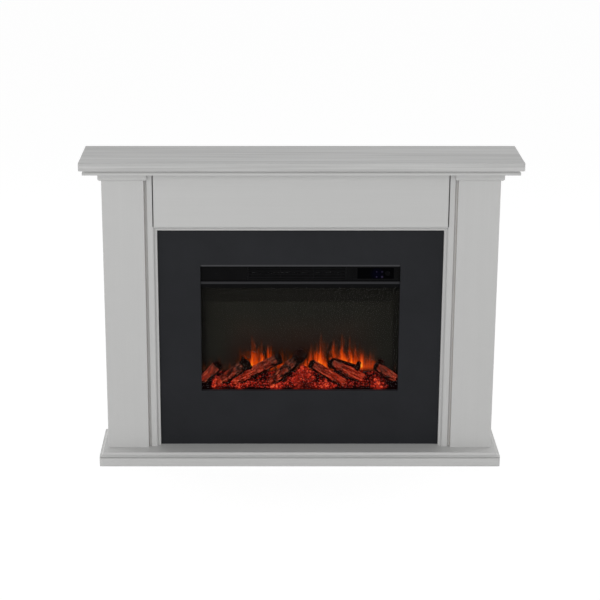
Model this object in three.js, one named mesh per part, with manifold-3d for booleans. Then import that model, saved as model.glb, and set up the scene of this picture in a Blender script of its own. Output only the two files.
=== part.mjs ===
// Electric fireplace: a wooden mantel with a framed dark panel, and an electric flame insert behind it.
// Millimetres. +X to the right, +Y to the wall, +Z up. The origin is on the floor, in the middle.
import * as THREE from 'three';
import { mergeVertices } from 'three/addons/utils/BufferGeometryUtils.js';
import Module from 'manifold-3d';

const wasm = await Module();
wasm.setup();

// ---------------------------------------------------------------- driving dimensions

const SEAM = 0.2; // gap drawn between pieces that are screwed or glued together
const RUNNING_GAP = 0.4; // radial clearance round shafts and buttons
const MITRE_GAP = 0.3;
const TOOL_SPARE = 1; // cutting shapes reach this far beyond the piece they cut
const WELD = 0.5; // how far the parts of one moulded or welded piece run into each other
const BOARD_THICKNESS = 15;

// Firebox opening, and the dark panel that shows round it
const OPENING_WIDTH = 612;
const OPENING_HEIGHT = 409;
const OPENING_SIDE = 129; // opening to the bead, each side
const OPENING_SILL = 178.3; // base top to the opening
const OPENING_HEAD = 111.7; // opening to the top bead
const INFILL_THICKNESS = 12;

// Frame of the panel
const BEAD_WIDTH = 12.7;
const BEAD_LIP = 4.4; // round lip along the bead's inner edge
const BEAD_LIP_SETBACK = 8.3; // stile front to the lip
const BEAD_FLAT = 2; // flat band where the bead meets the stile
const BEAD_QUIRK = 1.5; // foot of the bead's slope below the top of the lip
const BEAD_TOE = 2; // where the slope starts to climb, measured from the lip
const STILE_WIDTH = 23.8;
const STILE_SETBACK = 10.7; // leg front to stile front
const STILE_THICKNESS = 19.5;
const STILE_COVE = 7; // radius of the hollow along the leg side of the stile
const STILE_FILLET = 1; // flat between the hollow and the leg
const HEADER_HEIGHT = 187.975;
const HEADER_PROUD = 8.5; // header front ahead of the stile front
const HEADER_REVEAL = 3.4; // open joint at each end of the header
const HEADER_EDGE_RADIUS = 3.5;
const HEADER_GAP = 0.7; // open joint under the header

// Legs
const LEG_WIDTH = 127;
const LEG_EDGE_RADIUS = 2;
const CAPITAL_HEIGHT = 26.5;
const CAPITAL_PROJECTION = 9.5;
const CAPITAL_BEVEL = 4.5;

// Shelf and the bed moulding under it
const SHELF_THICKNESS = 25;
const SHELF_SIDE_OVERHANG = 61.9; // beyond the legs, each end
const SHELF_FRONT_OVERHANG = 58.7; // ahead of the legs
const SHELF_EDGE_RADIUS = 2.5;
const SHELF_CORNER_RADIUS = 5;
const BED_HEIGHT = 14.4;
const BED_SETBACK = 10.4; // shelf edge to the face of the moulding
const BED_COVE = 5; // how far the hollow cuts the moulding back
const BED_LIP = 7; // plain band along the moulding's lower edge

// Base
const BASE_HEIGHT = 43;
const BASE_SIDE_OVERHANG = 24.8; // beyond the legs, each end
const BASE_FRONT_OVERHANG = 53.1; // ahead of the legs
const BASE_CORNER_RADIUS = 8;
const BASE_TOP_THICKNESS = 14.8;
const BASE_MOULD_WIDTH = 11.5; // moulded edge of the base top, measured from the skirt's face
const BASE_QUIRK_HEIGHT = 2.6; // narrow groove between the moulded edge and the skirt
const BASE_QUIRK_DEPTH = 5.4;
const BASE_STEP = 0.6; // the moulded edge starts this far behind the skirt's face
const BASE_LIP_HEIGHT = 2.4; // plain lip over the groove
const BASE_COVE_STEPS = 6;
const SKIRT_THICKNESS = 18;
const SKIRT_EDGE_RADIUS = 3.5;

// Behind the face
const TOP_RAIL_HEIGHT = 90;
const WALL_GAP = 9.025; // insert casing to the wall

// Logs and embers
const LOG_CLEARANCE = 0.4;
const LOG_SIDES = 14;
const LOG_STATIONS = 7;
const LOG_LEAN_BACK = 9; // head of a log behind its foot
const LOG_RADIUS = 20; // half of the room for a log, front to back; each log's sizes are counted in it
const LOGS = [
  // foot: place along the bed, from -1 to 1. rise: foot above the bed's underside. lean: degrees above
  // level, with a negative lean to the left.
  { foot: -0.955, rise: 1.7, lean: 52, length: 3.2, radius: 0.75 },
  { foot: -0.84, rise: 0.92, lean: 37.5, length: 5.7, radius: 0.85 },
  { foot: -0.67, rise: 1.22, lean: 28, length: 7.95, radius: 0.85 },
  { foot: -0.295, rise: 0.97, lean: 42.5, length: 6.4, radius: 0.87 },
  { foot: 0.453, rise: 1.02, lean: -33, length: 6.1, radius: 0.72 },
  { foot: 0.643, rise: 1.67, lean: -29, length: 5.5, radius: 0.82 },
  { foot: 0.975, rise: 1.77, lean: -36, length: 3.5, radius: 0.72 },
];
const EMBER_MOUNDS = [
  // at: place along the bed, from -1 to 1. height: in bed heights. spread: in log radii.
  { at: 0.04, height: 1.9, spread: 1.3 },
  { at: 0.73, height: 1, spread: 1.7 },
  { at: -0.95, height: 0.4, spread: 1.1 },
  { at: 0.97, height: 0.6, spread: 0.7 },
];
const EMBER_HEIGHT = 26.5; // midway between front and back
const EMBER_RISE = 1.44; // back of the bed above its front, in bed heights
const EMBER_STEPS = 64;
const EMBER_RIPPLES = [{ size: 0.12, pitch: 23 }, { size: 0.07, pitch: 51 }]; // size in bed heights
const EMBER_SIDE_GAP = 12;
const EMBER_FRONT_GAP = 1; // glass to the ember bed
const EMBER_BACK_GAP = 3; // ember bed to the flame screen

// Insert casing
const CASING_LAP = 12; // casing beyond the opening, all round
const SHEET = 1.2;
const FRONT_RECESS = 1; // glass and fascia behind the casing's front edge
const GLASS_THICKNESS = 4;
const SCREEN_THICKNESS = 3;
const EFFECT_DEPTH = 65.8; // flame screen to the casing's back
const VENT_COUNT = 8;
const VENT_WIDTH = 34;
const VENT_HEIGHT = 5;
const VENT_PITCH = 46;
const VENT_ROW_PITCH = 15;

// Fascia, trims and outlet grille
const BAND_HEIGHT = 43.7; // of the grille and the display
const BAND_TOP_MARGIN = 0.6; // top trim to the grille and the display
const BAND_FOOT_MARGIN = 4.2; // lower trim to the grille and the display
const FASCIA_THICKNESS = 2;
const OPENING_CLEARANCE = 0.5; // fittings to the edge of the panel's opening
const TRIM_THICKNESS = 4.6;
const TOP_TRIM_HEIGHT = 6.8;
const LOWER_TRIM_HEIGHT = 7.6;
const LOWER_TRIM_RISE = 14; // fascia foot to the lower trim
const GRILLE_INSET = 145; // opening's left edge to the grille
const GRILLE_TO_BEZEL = 20;
const GRILLE_FIT = 0.3; // gap round the grille
const GRILLE_DEPTH = 8;
const GRILLE_RIM = 2;
const SLAT_COUNT = 4;
const SLAT_THICKNESS = 1.8;
const SLAT_WIDTH = 8.6;
const SLAT_LEAN = 0.8; // radians, front edge low
const RIB_COUNT = 2;
const RIB_WIDTH = 2.4;
const RIB_RECESS = 2; // ribs behind the grille's face

// Display, button and circuit board
const BEZEL_WIDTH = 140;
const BEZEL_INSET = 5; // opening's right edge to the bezel
const BEZEL_THICKNESS = 2.3;
const BEZEL_END = 14; // bezel's end to the window
const BEZEL_BORDER = 4.35; // bezel above and below the window
const WINDOW_RECESS = 0.7; // window face behind the bezel face
const GRIP_RADIUS = 1.3; // upright half-round ribs at the bezel's ends
const GRIP_INSETS = [4, 9.7]; // their distance from the bezel's end
const GRIP_SHORTER = 4; // ribs less than the window's height
const BUTTON_INSET = 19; // window's right end to the button's middle
const BUTTON_RADIUS = 9;
const BUTTON_EDGE = 1; // chamfer round the cap
const BUTTON_PROUD = 1.6;
const BUTTON_TRAVEL = 1.2;
const FLANGE_LIP = 1.6;
const FLANGE_THICKNESS = 1;
const STEM_RADIUS = 3;
const STEM_LENGTH = 0.7;
const SWITCH_SIZE = 6;
const SWITCH_HEIGHT = 2.5;
const CIRCUIT_THICKNESS = 1.6;
const CIRCUIT_SHORTER = 10; // circuit board less than the bezel's width
const CIRCUIT_HEIGHT = 56;
const POST_RADIUS = 3;
const POST_INSET = 5.5;
const RELAY_PLACES = [-19, 21]; // middles of the two relays, from the middle of the board
const RELAY_WIDTH = 22;
const RELAY_HEIGHT = 26;
const RELAY_DEPTH = 17;

// Blower and heating element
const BLOWER_END_GAP = 1; // grille's ends to the blower's end plates
const PLATE_THICKNESS = 1.5;
const PLATE_MARGIN = 7.4; // end plates behind the scroll
const SCROLL_GAP = 5.4; // impeller to scroll
const SCROLL_THICKNESS = 1.2;
const SCROLL_START = 0.6; // half turns, from straight back and over the top
const SCROLL_SWEEP = 0.85; // half turns that the scroll covers, back and down
const SCROLL_STEPS = 10;
const DUCT_HEIGHT = 34;
const TONGUE_LENGTH = 15;
const TONGUE_RISE = 2;
const IMPELLER_RADIUS = 25;
const IMPELLER_END_GAP = 3;
const BLADE_COUNT = 16;
const BLADE_DEPTH = 6;
const BLADE_THICKNESS = 1;
const BLADE_INSET = 0.6;
const BLADE_PITCH = -0.45; // radians
const DISC_THICKNESS = 2;
const SHAFT_RADIUS = 3;
const SHAFT_REACH = 12; // shaft beyond the blower's plates
const BORE_SPARE = 1; // bores are this much deeper than the shafts in them
const MOTOR_RADIUS = 22;
const MOTOR_LENGTH = 34;
const ELEMENT_SETBACK = 1; // mouth of the blower to the element
const ELEMENT_DEPTH = 13;
const ELEMENT_TO_IMPELLER = 6.8;
const ELEMENT_MARGIN = 3; // element to the duct, above and below
const ELEMENT_CAP = 8;
const ELEMENT_BARS = 3;
const ELEMENT_BAR = 3;
const ELEMENT_FINS = 12;
const ELEMENT_BAR_INSET = 1;
const ELEMENT_FIN = 0.8;
const ELEMENT_FIN_INSET = 1.5;

// Flame effect
const ROTOR_HEIGHT = 40; // casing foot to the rotor's axis
const ROD_RADIUS = 2.5;
const ROD_REACH = 9; // rod inside the motor and inside the bearing
const FLAG_COUNT = 24;
const FLAG_WIDTH = 15;
const FLAG_THICKNESS = 0.6;
const FLAG_TURN = 137.5; // degrees from one flag to the next
const FLAG_GAP = 12.9; // turning flags to the screen and to the casing's back
const DRIVE_GAP = 8.9; // rotor motor to the screen and to the casing's back
const DRIVE_LENGTH = 18;
const BEARING_RADIUS = 8;
const BEARING_LENGTH = 12;
const STRIP_WIDTH = 12;
const STRIP_END_GAP = 46;
const LED_COUNT = 18;
const LED_SIZE = 5;
const LED_HEIGHT = 2;

// Cable gland
const GLAND_INSET = 63; // casing's right side to the gland's middle
const GLAND_HEIGHT = 95;
const GLAND_BORE = 4;
const GLAND_WALL = 4.5;
const GLAND_FLANGE = 5;
const GLAND_FLANGE_THICKNESS = 4;
const GLAND_LENGTH = 8;

// ---------------------------------------------------------------- planes that the pieces share

// Across
const SIGHT_X = OPENING_WIDTH / 2 + OPENING_SIDE;
const STILE_INNER_X = SIGHT_X + BEAD_WIDTH;
const LEG_INNER_X = STILE_INNER_X + STILE_WIDTH;
const LEG_OUTER_X = LEG_INNER_X + LEG_WIDTH;
const SHELF_X = LEG_OUTER_X + SHELF_SIDE_OVERHANG; // 1320.8 from end to end
const BASE_X = LEG_OUTER_X + BASE_SIDE_OVERHANG;
const BETWEEN_LEGS = [-LEG_INNER_X + SEAM, LEG_INNER_X - SEAM];

// Up
const SKIRT_TOP_Z = BASE_HEIGHT - BASE_TOP_THICKNESS;
const SILL_Z = BASE_HEIGHT + OPENING_SILL;
const SIGHT_TOP_Z = SILL_Z + OPENING_HEIGHT + OPENING_HEAD;
const HEADER_BOTTOM_Z = SIGHT_TOP_Z + BEAD_WIDTH + HEADER_GAP;
const UNDER_SHELF_Z = HEADER_BOTTOM_Z + HEADER_HEIGHT;
const UNDER_BED_Z = UNDER_SHELF_Z - BED_HEIGHT;

// Inside the casing, from its front edge and from its foot
const EMBER_DEPTH = 2 * LOG_RADIUS + LOG_LEAN_BACK;
const EMBER_FRONT = FRONT_RECESS + GLASS_THICKNESS + EMBER_FRONT_GAP;
const EMBER_BACK = EMBER_FRONT + EMBER_DEPTH;
const SCREEN_FRONT = EMBER_BACK + EMBER_BACK_GAP;
const SCREEN_BACK = SCREEN_FRONT + SCREEN_THICKNESS;
const CASING_BACK = SCREEN_BACK + EFFECT_DEPTH; // inner face of the back sheet
const CASING_DEPTH = CASING_BACK + SHEET;
const CASING_X = OPENING_WIDTH / 2 + CASING_LAP;
const CASING_INNER_X = CASING_X - SHEET;
const INSIDE_X = CASING_INNER_X - SEAM;
const CASING_HEIGHT = OPENING_HEIGHT + 2 * CASING_LAP;
const CASING_CEILING = CASING_HEIGHT - SHEET;
const CASING_FLOOR = SHEET + SEAM;
const FASCIA_BACK = FRONT_RECESS + FASCIA_THICKNESS;
const FITTING_BACK = FRONT_RECESS - SEAM; // back of the trims and the bezel, against the fascia
const TOP_TRIM_TOP = CASING_HEIGHT - CASING_LAP - OPENING_CLEARANCE;
const BAND_TOP = TOP_TRIM_TOP - TOP_TRIM_HEIGHT - BAND_TOP_MARGIN;
const BAND_BOTTOM = BAND_TOP - BAND_HEIGHT;
const BAND_MIDDLE = (BAND_BOTTOM + BAND_TOP) / 2;
const LOWER_TRIM_TOP = BAND_BOTTOM - BAND_FOOT_MARGIN;
const FASCIA_FOOT = LOWER_TRIM_TOP - LOWER_TRIM_HEIGHT - LOWER_TRIM_RISE;
const BAY_FLOOR = FASCIA_FOOT + SHEET;

// Front to back
const DEPTH = SHELF_FRONT_OVERHANG + STILE_SETBACK + STILE_THICKNESS + INFILL_THICKNESS + SEAM + CASING_DEPTH
  + WALL_GAP; // 238.125
const WALL_Y = DEPTH / 2;
const SHELF_FRONT_Y = -DEPTH / 2;
const LEG_FRONT_Y = SHELF_FRONT_Y + SHELF_FRONT_OVERHANG;
const LEG_BOARD_BACK_Y = LEG_FRONT_Y + BOARD_THICKNESS;
const BASE_FRONT_Y = LEG_FRONT_Y - BASE_FRONT_OVERHANG;
const STILE_FRONT_Y = LEG_FRONT_Y + STILE_SETBACK;
const INFILL_FRONT_Y = STILE_FRONT_Y + STILE_THICKNESS;
const INFILL_BACK_Y = INFILL_FRONT_Y + INFILL_THICKNESS;
const CASING_FRONT_Y = INFILL_BACK_Y + SEAM;
const CASING_FOOT_Z = SILL_Z - CASING_LAP;

// Fittings of the insert
const BEZEL_LEFT = OPENING_WIDTH / 2 - BEZEL_INSET - BEZEL_WIDTH;
const DISPLAY_X = BEZEL_LEFT + BEZEL_WIDTH / 2;
const WINDOW_WIDTH = BEZEL_WIDTH - 2 * BEZEL_END;
const WINDOW_HEIGHT = BAND_HEIGHT - 2 * BEZEL_BORDER;
const BUTTON_X = WINDOW_WIDTH / 2 - BUTTON_INSET; // from the middle of the window
const FLANGE_BACK = FASCIA_BACK + RUNNING_GAP + FLANGE_THICKNESS;
const CIRCUIT_WIDTH = BEZEL_WIDTH - CIRCUIT_SHORTER;
const CIRCUIT_FRONT = FLANGE_BACK + STEM_LENGTH + BUTTON_TRAVEL + SEAM + SWITCH_HEIGHT;
const GRILLE_LEFT = -OPENING_WIDTH / 2 + GRILLE_INSET;
const GRILLE_RIGHT = BEZEL_LEFT - GRILLE_TO_BEZEL;
const GRILLE_X = (GRILLE_LEFT + GRILLE_RIGHT) / 2;
const BLOWER_OUTER = (GRILLE_RIGHT - GRILLE_LEFT) / 2 - BLOWER_END_GAP; // half of its length
const BLOWER_INNER = BLOWER_OUTER - PLATE_THICKNESS;
const MOUTH = FRONT_RECESS + GRILLE_DEPTH + SEAM;
const ELEMENT_FRONT = MOUTH + ELEMENT_SETBACK;
const BLOWER_AXIS_Y = ELEMENT_FRONT + ELEMENT_DEPTH + ELEMENT_TO_IMPELLER + IMPELLER_RADIUS;
const BLOWER_AXIS_Z = BAND_MIDDLE;
const ROTOR_AXIS_Y = (SCREEN_BACK + CASING_BACK) / 2;
const FLAG_RADIUS = EFFECT_DEPTH / 2 - FLAG_GAP;
const DRIVE_RADIUS = EFFECT_DEPTH / 2 - DRIVE_GAP;
const EMBER_X = CASING_INNER_X - EMBER_SIDE_GAP;

// ---------------------------------------------------------------- materials

function finish(color, roughness, metalness = 0) {
  return new THREE.MeshStandardMaterial({ color, roughness, metalness });
}

const WHITE_WOOD = finish('#e2e1de', 0.6);
const DARK_BOARD = finish('#3a3c40', 0.55);
const RAW_BOARD = finish('#b59b78', 0.85);
const BLACK_STEEL = finish('#1b1b1c', 0.5, 0.6);
const BLACK_PLASTIC = finish('#101011', 0.45);
const GLOSS_BLACK = finish('#070709', 0.12);
const BRUSHED_METAL = finish('#5c5d60', 0.35, 0.9);
const GLASS = finish('#20221f', 0.05);
const SCREEN = finish('#2a2927', 0.3);
const CHARRED_LOG = finish('#5a2a1c', 0.9);
const EMBERS = finish('#a8341a', 0.95);
const FOIL = finish('#c9cbce', 0.25, 1);
const MOTOR_STEEL = finish('#8d9094', 0.4, 0.9);
const ZINC_STEEL = finish('#9aa0a4', 0.4, 0.9);
const CERAMIC = finish('#262422', 0.8);
const CIRCUIT = finish('#1f5a37', 0.5);
const NYLON = finish('#161616', 0.5);

// ---------------------------------------------------------------- shapes

const X = new THREE.Vector3(1, 0, 0);
const Y = new THREE.Vector3(0, 1, 0);
const Z = new THREE.Vector3(0, 0, 1);
const back = (axis) => axis.clone().negate();

// The turn that lays a drawing's two axes along two axes of the part.
function turnTo(across, up) {
  return new THREE.Matrix4().makeBasis(across, up, across.clone().cross(up));
}

const toVectors = (points) => points.map(([across, up]) => new THREE.Vector2(across, up));

function polygon(points) {
  return new THREE.Shape(toVectors(points));
}

function rectangle(left, right, bottom, top) {
  return polygon([[left, bottom], [right, bottom], [right, top], [left, top]]);
}

// A round hole: its flat sides lie on the radius, so a shaft of that radius just fits.
function circle(across, up, radius, sides = 32) {
  const corners = [];
  for (let i = 0; i < sides; i++) {
    const angle = -(i / sides) * 2 * Math.PI;
    const reach = radius / Math.cos(Math.PI / sides);
    corners.push(new THREE.Vector2(across + reach * Math.cos(angle), up + reach * Math.sin(angle)));
  }
  return new THREE.Path(corners);
}

// A rectangle from (left, bottom) to (right, top) with its two lower corners rounded.
function roundedFoot(left, right, bottom, top, radius) {
  const shape = new THREE.Shape();
  shape.moveTo(left, top);
  shape.lineTo(left, bottom + radius);
  shape.absarc(left + radius, bottom + radius, radius, Math.PI, 1.5 * Math.PI, false);
  shape.absarc(right - radius, bottom + radius, radius, 1.5 * Math.PI, 2 * Math.PI, false);
  shape.lineTo(right, top);
  return shape;
}

function extrude(shape, depth, options = {}) {
  return new THREE.ExtrudeGeometry(shape, { depth, bevelEnabled: false, curveSegments: 6, ...options });
}

// Extrusions in the part's own axes: a drawing in (Y, Z) pushed along X, and so on.
function alongX(shape, from, to) {
  return extrude(shape, to - from).applyMatrix4(turnTo(Y, Z)).translate(from, 0, 0);
}

function alongY(shape, from, to) {
  return extrude(shape, to - from).applyMatrix4(turnTo(X, Z)).translate(0, to, 0);
}

function alongZ(shape, from, to) {
  return extrude(shape, to - from).translate(0, 0, from);
}

function boxBetween(x, y, z) {
  const box = new THREE.BoxGeometry(x[1] - x[0], y[1] - y[0], z[1] - z[0]);
  return box.translate((x[0] + x[1]) / 2, (y[0] + y[1]) / 2, (z[0] + z[1]) / 2);
}

// A rod on the X axis, with its middle at the given place.
function rodX(radius, length, x, sides) {
  return new THREE.CylinderGeometry(radius, radius, length, sides).rotateZ(Math.PI / 2).translate(x, 0, 0);
}

// A turned piece with its axis along Y: the profile is [radius, place along Y].
function turnedY(profile, sides) {
  return new THREE.LatheGeometry(toVectors(profile), sides);
}

// ---------------------------------------------------------------- booleans

function toSolid(geometry) {
  const bare = geometry.clone();
  bare.deleteAttribute('normal');
  bare.deleteAttribute('uv');
  const merged = mergeVertices(bare, 1e-4);
  return new wasm.Manifold(new wasm.Mesh({
    numProp: 3,
    vertProperties: new Float32Array(merged.attributes.position.array),
    triVerts: new Uint32Array(merged.index.array),
  }));
}

function toGeometry(solid) {
  const mesh = solid.getMesh();
  const geometry = new THREE.BufferGeometry();
  geometry.setAttribute('position', new THREE.BufferAttribute(mesh.vertProperties, 3));
  geometry.setIndex(new THREE.BufferAttribute(mesh.triVerts, 1));
  geometry.computeVertexNormals();
  return geometry;
}

function join(geometries) {
  return toGeometry(geometries.map(toSolid).reduce((whole, piece) => whole.add(piece)));
}

function common(geometries) {
  return toGeometry(geometries.map(toSolid).reduce((whole, piece) => whole.intersect(piece)));
}

function cut(geometry, tools) {
  return toGeometry(tools.map(toSolid).reduce((whole, tool) => whole.subtract(tool), toSolid(geometry)));
}

// ---------------------------------------------------------------- scene

const fireplace = new THREE.Group();
const mantel = new THREE.Group();
const insert = new THREE.Group();
insert.position.set(0, CASING_FRONT_Y, CASING_FOOT_Z);
fireplace.add(mantel, insert);

function add(group, name, material, geometry) {
  const mesh = new THREE.Mesh(geometry, material);
  mesh.name = name;
  group.add(mesh);
  return mesh;
}

// A board, sheet or block between two places on each axis, placed at its middle.
function addBox(group, name, material, x, y, z) {
  const mesh = add(group, name, material, new THREE.BoxGeometry(x[1] - x[0], y[1] - y[0], z[1] - z[0]));
  mesh.position.set((x[0] + x[1]) / 2, (y[0] + y[1]) / 2, (z[0] + z[1]) / 2);
  return mesh;
}

const SIDES = [{ word: 'left', sign: -1 }, { word: 'right', sign: 1 }];
const spanOnSide = (sign, inner, outer) => (sign > 0 ? [inner, outer] : [-outer, -inner]);

// A length of moulding. The outline is drawn in (out, up); at a mitred end the run falls back by 45 degrees
// as the outline goes inward, and a square end stays square.
function moulding(outline, length, mitredStart, mitredEnd) {
  const geometry = extrude(outline, length);
  const position = geometry.attributes.position;
  for (let i = 0; i < position.count; i++) {
    const fallBack = MITRE_GAP / 2 - position.getX(i);
    const along = position.getZ(i);
    if (along > length / 2 && mitredEnd) position.setZ(i, along - fallBack);
    if (along < length / 2 && mitredStart) position.setZ(i, along + fallBack);
  }
  return geometry;
}

function addMoulding(name, geometry, out, up, start) {
  const mesh = add(mantel, name, WHITE_WOOD, geometry);
  mesh.setRotationFromMatrix(turnTo(out, up));
  mesh.position.copy(start);
  return mesh;
}

// ---------------------------------------------------------------- mantel: shelf, bed moulding, header

// Options for a board extruded with its edges eased all round, inside its outline and its thickness.
function easedEdges(radius, segments) {
  return {
    bevelEnabled: true,
    bevelSize: radius,
    bevelOffset: -radius,
    bevelThickness: radius,
    bevelSegments: segments,
  };
}

function addShelf() {
  const plan = roundedFoot(-SHELF_X, SHELF_X, SHELF_FRONT_Y, WALL_Y, SHELF_CORNER_RADIUS);
  const board = extrude(plan, SHELF_THICKNESS - 2 * SHELF_EDGE_RADIUS, easedEdges(SHELF_EDGE_RADIUS, 3));
  const shelf = add(mantel, 'mantel_shelf', WHITE_WOOD, board);
  shelf.position.z = UNDER_SHELF_Z + SHELF_EDGE_RADIUS;
}

// Outline of the bed moulding: a plain lip below and a hollow that runs back above it to a square neck.
function bedOutline(width) {
  const top = BED_HEIGHT - SEAM;
  const shape = new THREE.Shape();
  shape.moveTo(-width, 0);
  shape.lineTo(0, 0);
  shape.lineTo(0, BED_LIP);
  shape.absarc(0, BED_LIP + BED_COVE, BED_COVE, 1.5 * Math.PI, Math.PI, true);
  shape.lineTo(-BED_COVE, top);
  shape.lineTo(-width, top);
  return shape;
}

function addBedMoulding() {
  const faceX = SHELF_X - BED_SETBACK;
  const faceY = SHELF_FRONT_Y + BED_SETBACK;
  const frontOutline = bedOutline(LEG_FRONT_Y - SEAM - faceY);
  const sideOutline = bedOutline(faceX - LEG_OUTER_X - SEAM);
  const atLeft = new THREE.Vector3(-faceX, faceY, UNDER_BED_Z);
  const atRight = new THREE.Vector3(faceX, faceY, UNDER_BED_Z);
  const rightBack = new THREE.Vector3(faceX, WALL_Y, UNDER_BED_Z);
  const front = moulding(frontOutline, 2 * faceX, true, true);
  addMoulding('shelf_moulding_front', front, back(Y), Z, atRight);
  const left = moulding(sideOutline, WALL_Y - faceY, true, false);
  addMoulding('shelf_moulding_left', left, back(X), Z, atLeft);
  const right = moulding(sideOutline, WALL_Y - faceY, false, true);
  addMoulding('shelf_moulding_right', right, X, Z, rightBack);
}

function addHeader() {
  const halfWidth = STILE_INNER_X - HEADER_REVEAL;
  const thickness = HEADER_PROUD + STILE_THICKNESS - SEAM;
  const face = rectangle(-halfWidth, halfWidth, HEADER_BOTTOM_Z, UNDER_SHELF_Z - SEAM);
  const board = extrude(face, thickness - 2 * HEADER_EDGE_RADIUS, easedEdges(HEADER_EDGE_RADIUS, 4));
  const header = add(mantel, 'header_panel', WHITE_WOOD, board.applyMatrix4(turnTo(X, Z)));
  header.position.y = INFILL_FRONT_Y - SEAM - HEADER_EDGE_RADIUS;
}

// ---------------------------------------------------------------- mantel: legs and their capitals

function addLeg({ word, sign }) {
  const z = [BASE_HEIGHT + SEAM, UNDER_SHELF_Z - SEAM];
  const sideY = [LEG_BOARD_BACK_Y + SEAM, WALL_Y];
  const [left, right] = spanOnSide(sign, LEG_INNER_X, LEG_OUTER_X);
  const frontPlan = roundedFoot(left, right, LEG_FRONT_Y, LEG_BOARD_BACK_Y, LEG_EDGE_RADIUS);
  add(mantel, `${word}_leg_front`, WHITE_WOOD, alongZ(frontPlan, z[0], z[1]));
  const outer = spanOnSide(sign, LEG_OUTER_X - BOARD_THICKNESS, LEG_OUTER_X);
  addBox(mantel, `${word}_leg_outer_side`, WHITE_WOOD, outer, sideY, z);
  const inner = spanOnSide(sign, LEG_INNER_X, LEG_INNER_X + BOARD_THICKNESS);
  addBox(mantel, `${word}_leg_inner_side`, RAW_BOARD, inner, sideY, z);
}

// The capital is a band round three sides of the leg, bevelled along its lower edge. On the inner side it
// stops at the stile.
function addCapital({ word, sign }) {
  const z = [UNDER_BED_Z - CAPITAL_HEIGHT, UNDER_BED_Z - SEAM];
  const low = LEG_INNER_X - CAPITAL_PROJECTION;
  const high = LEG_OUTER_X + CAPITAL_PROJECTION;
  const frontY = LEG_FRONT_Y - CAPITAL_PROJECTION;
  const frontToBack = polygon([
    [frontY + CAPITAL_BEVEL, z[0]], [WALL_Y, z[0]], [WALL_Y, z[1]], [frontY, z[1]],
    [frontY, z[0] + CAPITAL_BEVEL],
  ]);
  const [left, right] = spanOnSide(sign, low, high);
  const leftToRight = polygon([
    [left + CAPITAL_BEVEL, z[0]], [right - CAPITAL_BEVEL, z[0]], [right, z[0] + CAPITAL_BEVEL],
    [right, z[1]], [left, z[1]], [left, z[0] + CAPITAL_BEVEL],
  ]);
  const block = common([alongX(frontToBack, -high, high), alongY(leftToRight, frontY, WALL_Y)]);
  const tall = [z[0] - TOOL_SPARE, z[1] + TOOL_SPARE];
  const toBack = WALL_Y + TOOL_SPARE;
  const legX = spanOnSide(sign, LEG_INNER_X - SEAM, LEG_OUTER_X + SEAM);
  const leg = boxBetween(legX, [LEG_FRONT_Y - SEAM, toBack], tall);
  const stileX = spanOnSide(sign, low - TOOL_SPARE, LEG_INNER_X);
  const stile = boxBetween(stileX, [STILE_FRONT_Y - SEAM, toBack], tall);
  add(mantel, `${word}_leg_capital`, WHITE_WOOD, cut(block, [leg, stile]));
}

// ---------------------------------------------------------------- mantel: frame of the dark panel

// Outline of a stile in (out, front), from its inner edge: flat, then a hollow down to the leg.
function stileOutline() {
  const width = STILE_WIDTH - SEAM;
  const hollowFoot = STILE_THICKNESS - STILE_COVE;
  const shape = new THREE.Shape();
  shape.moveTo(0, 0);
  shape.lineTo(width, 0);
  shape.lineTo(width, hollowFoot);
  shape.lineTo(width - STILE_FILLET, hollowFoot);
  shape.absarc(width - STILE_FILLET, STILE_THICKNESS, STILE_COVE, 1.5 * Math.PI, Math.PI, true);
  shape.lineTo(0, STILE_THICKNESS);
  return shape;
}

function addStile({ word, sign }) {
  const height = UNDER_SHELF_Z - BASE_HEIGHT - 2 * SEAM;
  const out = sign > 0 ? X : back(X);
  // A stile runs up on the left and down on the right, because the outline faces front on both.
  const startZ = sign > 0 ? UNDER_SHELF_Z - SEAM : BASE_HEIGHT + SEAM;
  const start = new THREE.Vector3(sign * STILE_INNER_X, INFILL_FRONT_Y - SEAM, startZ);
  addMoulding(`${word}_stile`, moulding(stileOutline(), height, false, false), out, back(Y), start);
}

// Outline of the bead in (out, front), from its inner edge: a rounded lip, then a slope up to the stile.
function beadOutline() {
  const lip = STILE_THICKNESS - BEAD_LIP_SETBACK;
  const round = BEAD_LIP / 2;
  const shape = new THREE.Shape();
  shape.moveTo(0, 0);
  shape.lineTo(BEAD_WIDTH - SEAM, 0);
  shape.lineTo(BEAD_WIDTH - SEAM, STILE_THICKNESS);
  shape.lineTo(BEAD_WIDTH - BEAD_FLAT, STILE_THICKNESS);
  shape.quadraticCurveTo(BEAD_LIP + BEAD_TOE, lip - BEAD_QUIRK, BEAD_LIP, lip - BEAD_QUIRK);
  shape.absarc(round, lip - round, round, 0.25 * Math.PI, Math.PI, false);
  return shape;
}

function addBeads() {
  const seat = INFILL_FRONT_Y - SEAM;
  const foot = BASE_HEIGHT + SEAM;
  const height = SIGHT_TOP_Z - foot;
  const left = moulding(beadOutline(), height, false, true);
  addMoulding('bead_left', left, back(X), back(Y), new THREE.Vector3(-SIGHT_X, seat, foot));
  const top = moulding(beadOutline(), 2 * SIGHT_X, true, true);
  addMoulding('bead_top', top, Z, back(Y), new THREE.Vector3(-SIGHT_X, seat, SIGHT_TOP_Z));
  const right = moulding(beadOutline(), height, true, false);
  addMoulding('bead_right', right, X, back(Y), new THREE.Vector3(SIGHT_X, seat, SIGHT_TOP_Z));
}

function addInfill() {
  const face = rectangle(BETWEEN_LEGS[0], BETWEEN_LEGS[1], BASE_HEIGHT + SEAM, UNDER_SHELF_Z - SEAM);
  face.holes.push(rectangle(-OPENING_WIDTH / 2, OPENING_WIDTH / 2, SILL_Z, SILL_Z + OPENING_HEIGHT));
  add(mantel, 'infill_panel', DARK_BOARD, alongY(face, INFILL_FRONT_Y, INFILL_BACK_Y));
}

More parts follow.
